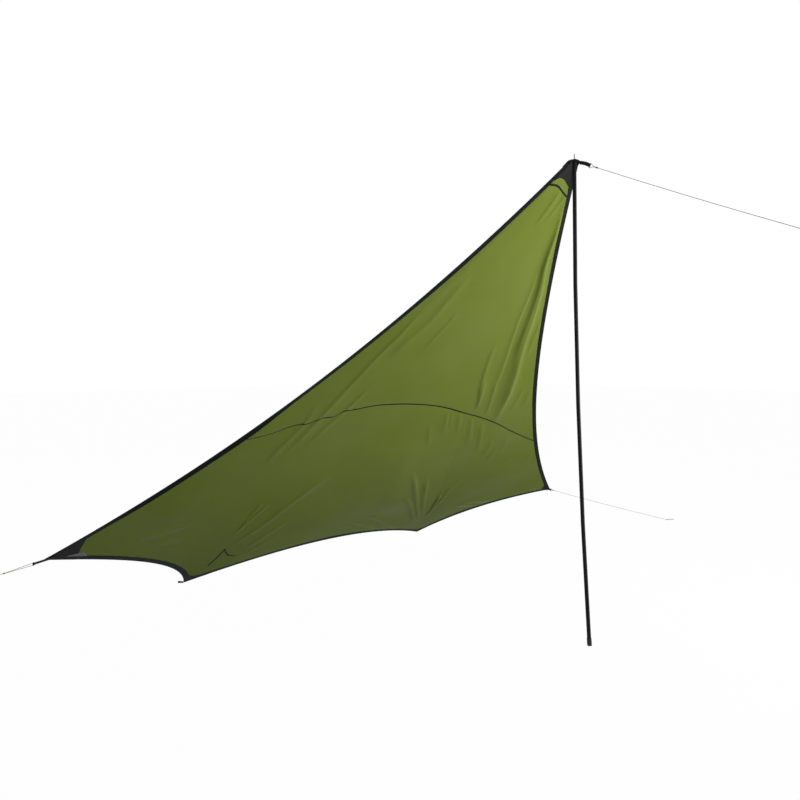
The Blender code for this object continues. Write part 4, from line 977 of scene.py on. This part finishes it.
def beak_row(forward, dip, half, droop, back, flat):
    """A row of the beak, forward of the peak and below it.

    It is level to both sides of its middle as far as flat, then droops by the power 1.5 of the
    rest, and is swept back by the square of the share.
    """
    shares = np.linspace(-1, 1, BEAK_COLUMNS)
    outer = np.clip(np.abs(shares) * half - flat, 0, None) / (half - flat)
    middle = PEAK - np.array([0, forward, dip])
    return middle + np.stack([shares * half, -back * shares**2, -droop * outer**1.5], -1)


def through_rows(rows, count):
    """Catmull-Rom curves down the rows: a finer grid that passes through every row."""
    at = np.linspace(0, len(rows) - 1, count)
    one = np.minimum(at.astype(int), len(rows) - 2)
    rows = past_ends(rows)
    return catmull_rom(*(rows[one + k] for k in range(4)), (at - one)[:, None, None])


half_top = TOP_LINE_WIDTH / 2
lifts = (TAPE_THICKNESS + BEAK_THICKNESS) / 2 + np.array(BEAK_LIFTS)[:, None]
down = np.array([[1.0], [0.5], [0.0]]) * BEAK_OVERLAP / EDGE_LENGTH
past = np.array([[0.03], [0.09], [0.11]])
beak_v = np.linspace(0, 1, BEAK_COLUMNS) * (1 + past) - past
beak_rows = list(canopy_point(down, beak_v, -lifts))
for forward, width, droop, back in (
    (-BEAK_FLAT, 1.02, 0.80, 0.8),
    (0.0, 0.80, 0.70, 0.4),
    (BEAK_FLAT, BEAK_NECK, 0.65, 0.0),
):
    half = half_top * width
    droop, back = BEAK_SIDE_DROOP * droop, BEAK_SWEEP * back
    beak_rows.append(beak_row(forward, 0.0, half, droop, back, BEAK_FLAT))
for share, flat in ((0.4, 0.45), (0.7, 0.40), (1.0, 0.35)):
    forward = BEAK_FLAT + (BEAK_FRONT - BEAK_FLAT) * share
    half = half_top * BEAK_NECK * (1 - share) + BEAK_FRONT_WIDTH / 2 * share
    beak_rows.append(beak_row(forward, BEAK_DIP * share, half, BEAK_DROOP, 0.0, half * flat))
beak_points = through_rows(np.array(beak_rows), BEAK_ROWS)
beak = sheet_piece(
    "apex_beak_cover", beak_points, BEAK_THICKNESS, black_webbing, "apex_beak"
)

turns = np.arange(PUNCH_SIDES) * 2 * np.pi / PUNCH_SIDES
circle = np.stack([EYELET_HOLE * np.cos(turns), EYELET_HOLE * np.sin(turns), 0 * turns], -1)
rings = PEAK + circle + np.array([[[0, 0, -PUNCH_HALF]], [[0, 0, PUNCH_HALF]]])
punch = add_object("eyelet_punch", closed_mesh("eyelet_punch", rings))
hole = beak.modifiers.new("eyelet_hole", "BOOLEAN")
hole.operation = "DIFFERENCE"
hole.object = punch
cut = bpy.data.meshes.new_from_object(beak.evaluated_get(bpy.context.evaluated_depsgraph_get()))
beak.modifiers.clear()
beak.data = cut
bpy.data.objects.remove(punch)


# Webbing straps
#
# Black webbing doubled back on itself and sewn flat, with an eye left open at its end. The wing
# straps are sewn on the inner side of their patches; two short loops at the ground take pegs.

STRAP_WIDTH = 0.017
STRAP_PLY = 0.0014
STRAP_APART = 0.0016
STRAP_OVERLAP = 0.036
STRAP_EYE = 0.0032
STRAP_WALL = 0.0018
STRAP_ROUNDING = 0.0004
STRAP_SEAT = 0.0006
STRAP_HALF = 0.0016
STRAP_TURN = 0.002
EYE_GAP = 0.0001
APEX_STRAP_LENGTH = 0.060
APEX_STRAP_RISE = 0.003
APEX_STRAP_TUCK = 0.0018
LEFT_STRAP_LENGTH = 0.062
RIGHT_STRAP_LENGTH = 0.020
PEG_LOOP_LENGTH = 0.034
PEG_LOOP_WIDTH = 0.010
PEG_LOOP_EYE = 0.0055
PEG_LOOP_HEIGHT = 0.005
PEG_LOOP_OUT = 0.0012
CORNER_STEP = 0.002
CORD_RADIUS = 0.0011
UP = np.array([0.0, 0.0, 1.0])


def direction(plan_deg, down_deg):
    """A unit vector at an angle in plan from +X, and tilted down."""
    plan, down = math.radians(plan_deg), math.radians(down_deg)
    level = math.cos(down)
    return np.array([level * math.cos(plan), level * math.sin(plan), -math.sin(down)])


def strap(name, start, lie, width_way, overlap, pull, length, width, eye, node, rise=0.0):
    """A strip of webbing carried out along its side line, round the eye and back, with a rise
    between its ends of half a sine wave.

    The side line is two parallels joined by a circle about the eye; beyond overlap metres it
    turns from lie to pull. Returns the eye's middle, the pulled way and the eye's axis.
    """
    across = unit(width_way - lie * (width_way @ lie))
    side = np.cross(across, lie)
    bend = math.atan2(pull @ side, pull @ lie)
    centre = length - eye - STRAP_WALL
    middle = eye + STRAP_PLY / 2 + EYE_GAP
    apart = STRAP_APART / 2
    opening = math.asin(apart / middle)
    turns = np.linspace(math.pi - opening, opening - math.pi, 33)
    round_eye = np.stack([centre + middle * np.cos(turns), middle * np.sin(turns)], -1)
    run = np.linspace(0, centre - middle * math.cos(opening), 24)[:-1]
    out = np.stack([run, np.full_like(run, apart)], -1)
    line = np.concatenate([out, round_eye, out[::-1] * [1, -1]])
    cosine, sine = math.cos(bend), math.sin(bend)
    line = line @ np.array([[cosine, sine], [-sine, cosine]]) + [overlap, 0]
    if overlap:
        lying = np.linspace(0, overlap - STRAP_TURN, 12)
        before = np.stack([lying, np.full_like(lying, apart)], -1)
        line = np.concatenate([before, line[1:-1], before[::-1] * [1, -1]])
    tangent = unit(np.gradient(line, axis=0))
    normal = np.stack([-tangent[:, 1], tangent[:, 0]], -1)
    half, thin, soft = width / 2, STRAP_PLY / 2, STRAP_ROUNDING
    right = [(half - soft, thin), (half, thin - soft), (half, soft - thin), (half - soft, -thin)]
    right.append((0, -thin))
    section = np.array([*right, *[(-x, -z) for x, z in right]])
    flat = line[:, None, :] + normal[:, None, :] * section[None, :, 1:]
    arched = rise * np.sin(np.pi * np.clip(line[:, 0] / length, 0, 1))
    aside = section[None, :, :1] + arched[:, None, None]
    rings = start + flat[..., :1] * lie + flat[..., 1:] * side + aside * across
    carried_profile(name, rings, black_webbing, "webbing", node)
    way = lie * cosine + side * sine
    return start + lie * overlap + way * centre, way, across


def wing_strap(side, corner_v, pull, length):
    """A wing's strap: it lies on its patch as far as the corner, then follows the pull."""
    corner_u = np.array(1 - CORNER_STEP)
    normal = underside(corner_u, np.array(corner_v))
    tip = taut_point(corner_u, np.array(corner_v))
    lie = unit(pull - normal * (pull @ normal))
    lift = TAPE_THICKNESS / 2 + STRAP_SEAT + STRAP_HALF
    start = tip + normal * lift - lie * STRAP_OVERLAP
    way = np.cross(normal, lie)
    sizes = (length, STRAP_WIDTH, STRAP_EYE)
    return strap(f"{side}_strap", start, lie, way, STRAP_OVERLAP, pull, *sizes, f"{side}_wing_strap")


FRONT_WAY = direction(-90, 23.5)
LEFT_WAY = direction(175.0, 10.6)
RIGHT_CORD_END = np.array([2.887, 1.117, 0.0])
RIGHT_WAY = unit(RIGHT_CORD_END + UP * CORD_RADIUS - WING_R)
start = PEAK - np.array([0, BEAK_FRONT - APEX_STRAP_TUCK, BEAK_DIP + BEAK_DROOP / 2])
sizes = (APEX_STRAP_LENGTH, STRAP_WIDTH, STRAP_EYE)
apex_eye = strap(
    "apex_strap", start, FRONT_WAY, UP, 0.0, FRONT_WAY, *sizes, "apex_guy_strap", APEX_STRAP_RISE
)
left_eye = wing_strap("left", CORNER_STEP, LEFT_WAY, LEFT_STRAP_LENGTH)
right_eye = wing_strap("right", 1 - CORNER_STEP, RIGHT_WAY, RIGHT_STRAP_LENGTH)
sizes = (PEG_LOOP_LENGTH, PEG_LOOP_WIDTH, PEG_LOOP_EYE)
for side, corner, plan in (("left", GROUND_L, 128.0), ("right", GROUND_R, 62.0)):
    way = direction(plan, 0)
    start = np.array([corner[0], corner[1], PEG_LOOP_HEIGHT]) + way * PEG_LOOP_OUT
    strap(f"{side}_ground_loop", start, way, UP, 0.0, way, *sizes, f"{side}_peg_loop")


# Guylines
#
# Braided cord of 2.2 mm. Each guyline is threaded through its strap's eye, comes back to a barrel
# knot, and runs on taut to an end knot with an open loop for a peg.

KNOT_RADIUS = 0.0036
KNOT_LENGTH = 0.011
KNOT_TURNS = 3.5
GAP = 0.0003
KNOT_REACH = KNOT_LENGTH / 2 + GAP
STRANDS_CLOSE = KNOT_RADIUS * 0.42
STRANDS_CLEAR = 0.0017
EYE_BEND = 0.006
FRONT_EYE_LENGTH = 0.038
RIGHT_EYE_LENGTH = 0.018
LEFT_EYE_LENGTH = 0.122
FRONT_CORD_LENGTH = 0.982
LINK_LENGTH = 0.014
RUNNER_LENGTH = 0.030
TAIL_LENGTH = 0.085
END_LOOP_LENGTH = 0.060
END_LOOP_HALF = 0.010
CORD_SAG = 0.004


def tube(name, line, first, look, node, sides=12):
    """The cord's round section carried along a line: circles square to it, set out from first.

    A look is a material and its slot; the slot is not used.
    """
    tangent = unit(np.gradient(line, axis=0))
    first = unit(first - tangent * (tangent * first).sum(-1, keepdims=True))
    second = np.cross(tangent, first)
    turns = (np.arange(sides) * 2 * np.pi / sides)[:, None]
    spokes = first[:, None] * np.cos(turns) + second[:, None] * np.sin(turns)
    return carried_profile(name, line[:, None] + CORD_RADIUS * spokes, *look, node)


def cord_piece(name, line, first, look, node):
    """A run of cord: it leaves at the line's start and is as long as the line."""
    made = tube(name, line, first, look, node)


def braid(name, light, dark):
    """A braided cord's finish: two sets of diagonal strands, lighter on their crests."""
    made, tree, shader = finish(name, 0.75, specular=0.35)
    one = waves(tree, (900, 900, 1), "DIAGONAL")
    two = waves(tree, (900, -900, 1), "DIAGONAL")
    crests = combine(tree, "MAXIMUM", one, two)
    colour_along(tree, shader, crests, (0.2, dark), (0.8, light))
    relief(tree, shader, crests, 0.0003, 0.6)
    return made


grey = (braid("grey_cord", (0.24, 0.235, 0.225), (0.12, 0.118, 0.11)), "cord")
tan = (braid("tan_cord", (0.52, 0.31, 0.12), (0.26, 0.14, 0.05)), "tan_cord")
sewn = (black_webbing, "webbing")


def threaded_eye(name, eye, length, converge, node):
    """Both strands of a cord that is threaded through a strap's eye, as far as the knot."""
    centre, along, across = eye
    halfway = (STRAP_WIDTH / 2 + STRANDS_CLEAR) * converge * 0.5 + STRANDS_CLOSE * 0.5
    strand = [
        (0.0, STRAP_WIDTH / 2 + STRANDS_CLEAR * 0.4),
        (EYE_BEND, STRAP_WIDTH / 2 + STRANDS_CLEAR),
        (length * 0.55, halfway),
        (length, STRANDS_CLOSE),
    ]
    back = [centre + along * run - across * aside for run, aside in strand[::-1]]
    out = [centre + along * run + across * aside for run, aside in strand]
    line = smooth_line([*back, centre, *out], 90)
    cord_piece(name, line, np.cross(along, across), grey, node)


def barrel_knot(name, centre, along, look, node):
    """Three and a half turns of cord wound round the line: a helix drawn in at both ends."""
    t = np.linspace(0, 1, 85)
    first = unit(np.cross(along, UP))
    second = np.cross(along, first)
    radius = (KNOT_RADIUS - CORD_RADIUS) * (0.55 + 0.45 * ease(t / 0.15) * ease((1 - t) / 0.15))
    angle = 2 * np.pi * KNOT_TURNS * t
    outward = (radius * np.cos(angle))[:, None] * first + (radius * np.sin(angle))[:, None] * second
    line = centre + along * ((2 * t - 1) * (KNOT_LENGTH / 2 - CORD_RADIUS))[:, None] + outward
    return tube(name, line, unit(outward), look, node, sides=10)


def peg_loop(name, start, along, across, material, node):
    """The open loop at a guyline's end, out of its knot and back."""
    close, reach, half = across * STRANDS_CLOSE, along * END_LOOP_LENGTH, across * END_LOOP_HALF
    out = [start - close, start + reach * 0.45 - half * 0.85, start + reach * 0.80 - half]
    back = [start + reach * 0.80 + half, start + reach * 0.45 + half * 0.85, start + close]
    line = smooth_line([*out, start + reach, *back], 70)
    look = (material, "cord")
    cord_piece(name, line, np.cross(along, across), look, node)


def sagging(start, end, sag, count):
    """A taut line that hangs by sag in its middle, a parabola."""
    shares = np.array((0, 0.2, 0.4, 0.6, 0.8, 1))[:, None]
    places = start + (end - start) * shares - UP * (4 * sag * shares * (1 - shares))
    return smooth_line(places, count)


def guyline(side, eye, eye_length, converge, knot_look, look, sag, count, steps=(), opens=None):
    """A guyline from its strap's eye to its end loop.

    With steps it runs straight on, and their sum is the way from its first knot's middle to its
    end knot's. Otherwise it ends at RIGHT_CORD_END, with its loop flat on the ground.
    """
    centre, along, across = eye
    threaded_eye(f"{side}_eye_strands", eye, eye_length, converge, f"{side}_guyline_eye")
    middle = centre + along * (eye_length + GAP + KNOT_LENGTH / 2)
    knot = barrel_knot(f"{side}_knot", middle, along, knot_look, f"{side}_guyline_knot")
    if steps:
        far, way, first = middle, along, opens
        for step in steps:
            far = far + along * step
    else:
        far = RIGHT_CORD_END + UP * KNOT_RADIUS
        way = unit((RIGHT_CORD_END - middle) * [1, 1, 0])
        first, opens = np.cross(way, UP), np.cross(UP, way)
    end_knot = barrel_knot(f"{side}_end_knot", far, way, look, f"{side}_guyline_end_knot")
    start = middle + unit(far - middle) * KNOT_REACH
    line = sagging(start, far - way * KNOT_REACH, sag, count)
    cord_piece(f"{side}_line", line, first, look, f"{side}_guyline")
    out = far + way * KNOT_REACH
    peg_loop(f"{side}_end_loop", out, way, opens, look[0], f"{side}_guyline_end_loop")


steps, opens = (KNOT_REACH, FRONT_CORD_LENGTH, KNOT_REACH), np.array([1.0, 0, 0])
guyline("front", apex_eye, FRONT_EYE_LENGTH, 0.3, sewn, grey, CORD_SAG, 120, steps, opens)
guyline("right", right_eye, RIGHT_EYE_LENGTH, 0.9, sewn, grey, CORD_SAG, 120)
steps = (KNOT_REACH, LINK_LENGTH + RUNNER_LENGTH + TAIL_LENGTH + GAP + KNOT_LENGTH / 2)
opens = unit(np.cross(left_eye[1], UP))
guyline("left", left_eye, LEFT_EYE_LENGTH, 0.9, tan, tan, 0.0, 40, steps, opens)


# Line runner
#
# A small turned aluminium runner, anodised olive, threaded on the left guyline. It slides along
# the cord to tighten it.

RUNNER_DARK = (0.085, 0.075, 0.022)
RUNNER_OLIVE = (0.15, 0.135, 0.045)

anodised, tree, shader = finish("olive_anodised", 0.32, 0.85)
lathe = noise(tree, 900.0, 3)
colour_along(tree, shader, lathe, (0.3, RUNNER_DARK), (0.7, RUNNER_OLIVE))
relief(tree, shader, lathe, 0.00003, 0.5)
dress(["left_line_runner"], anodised)
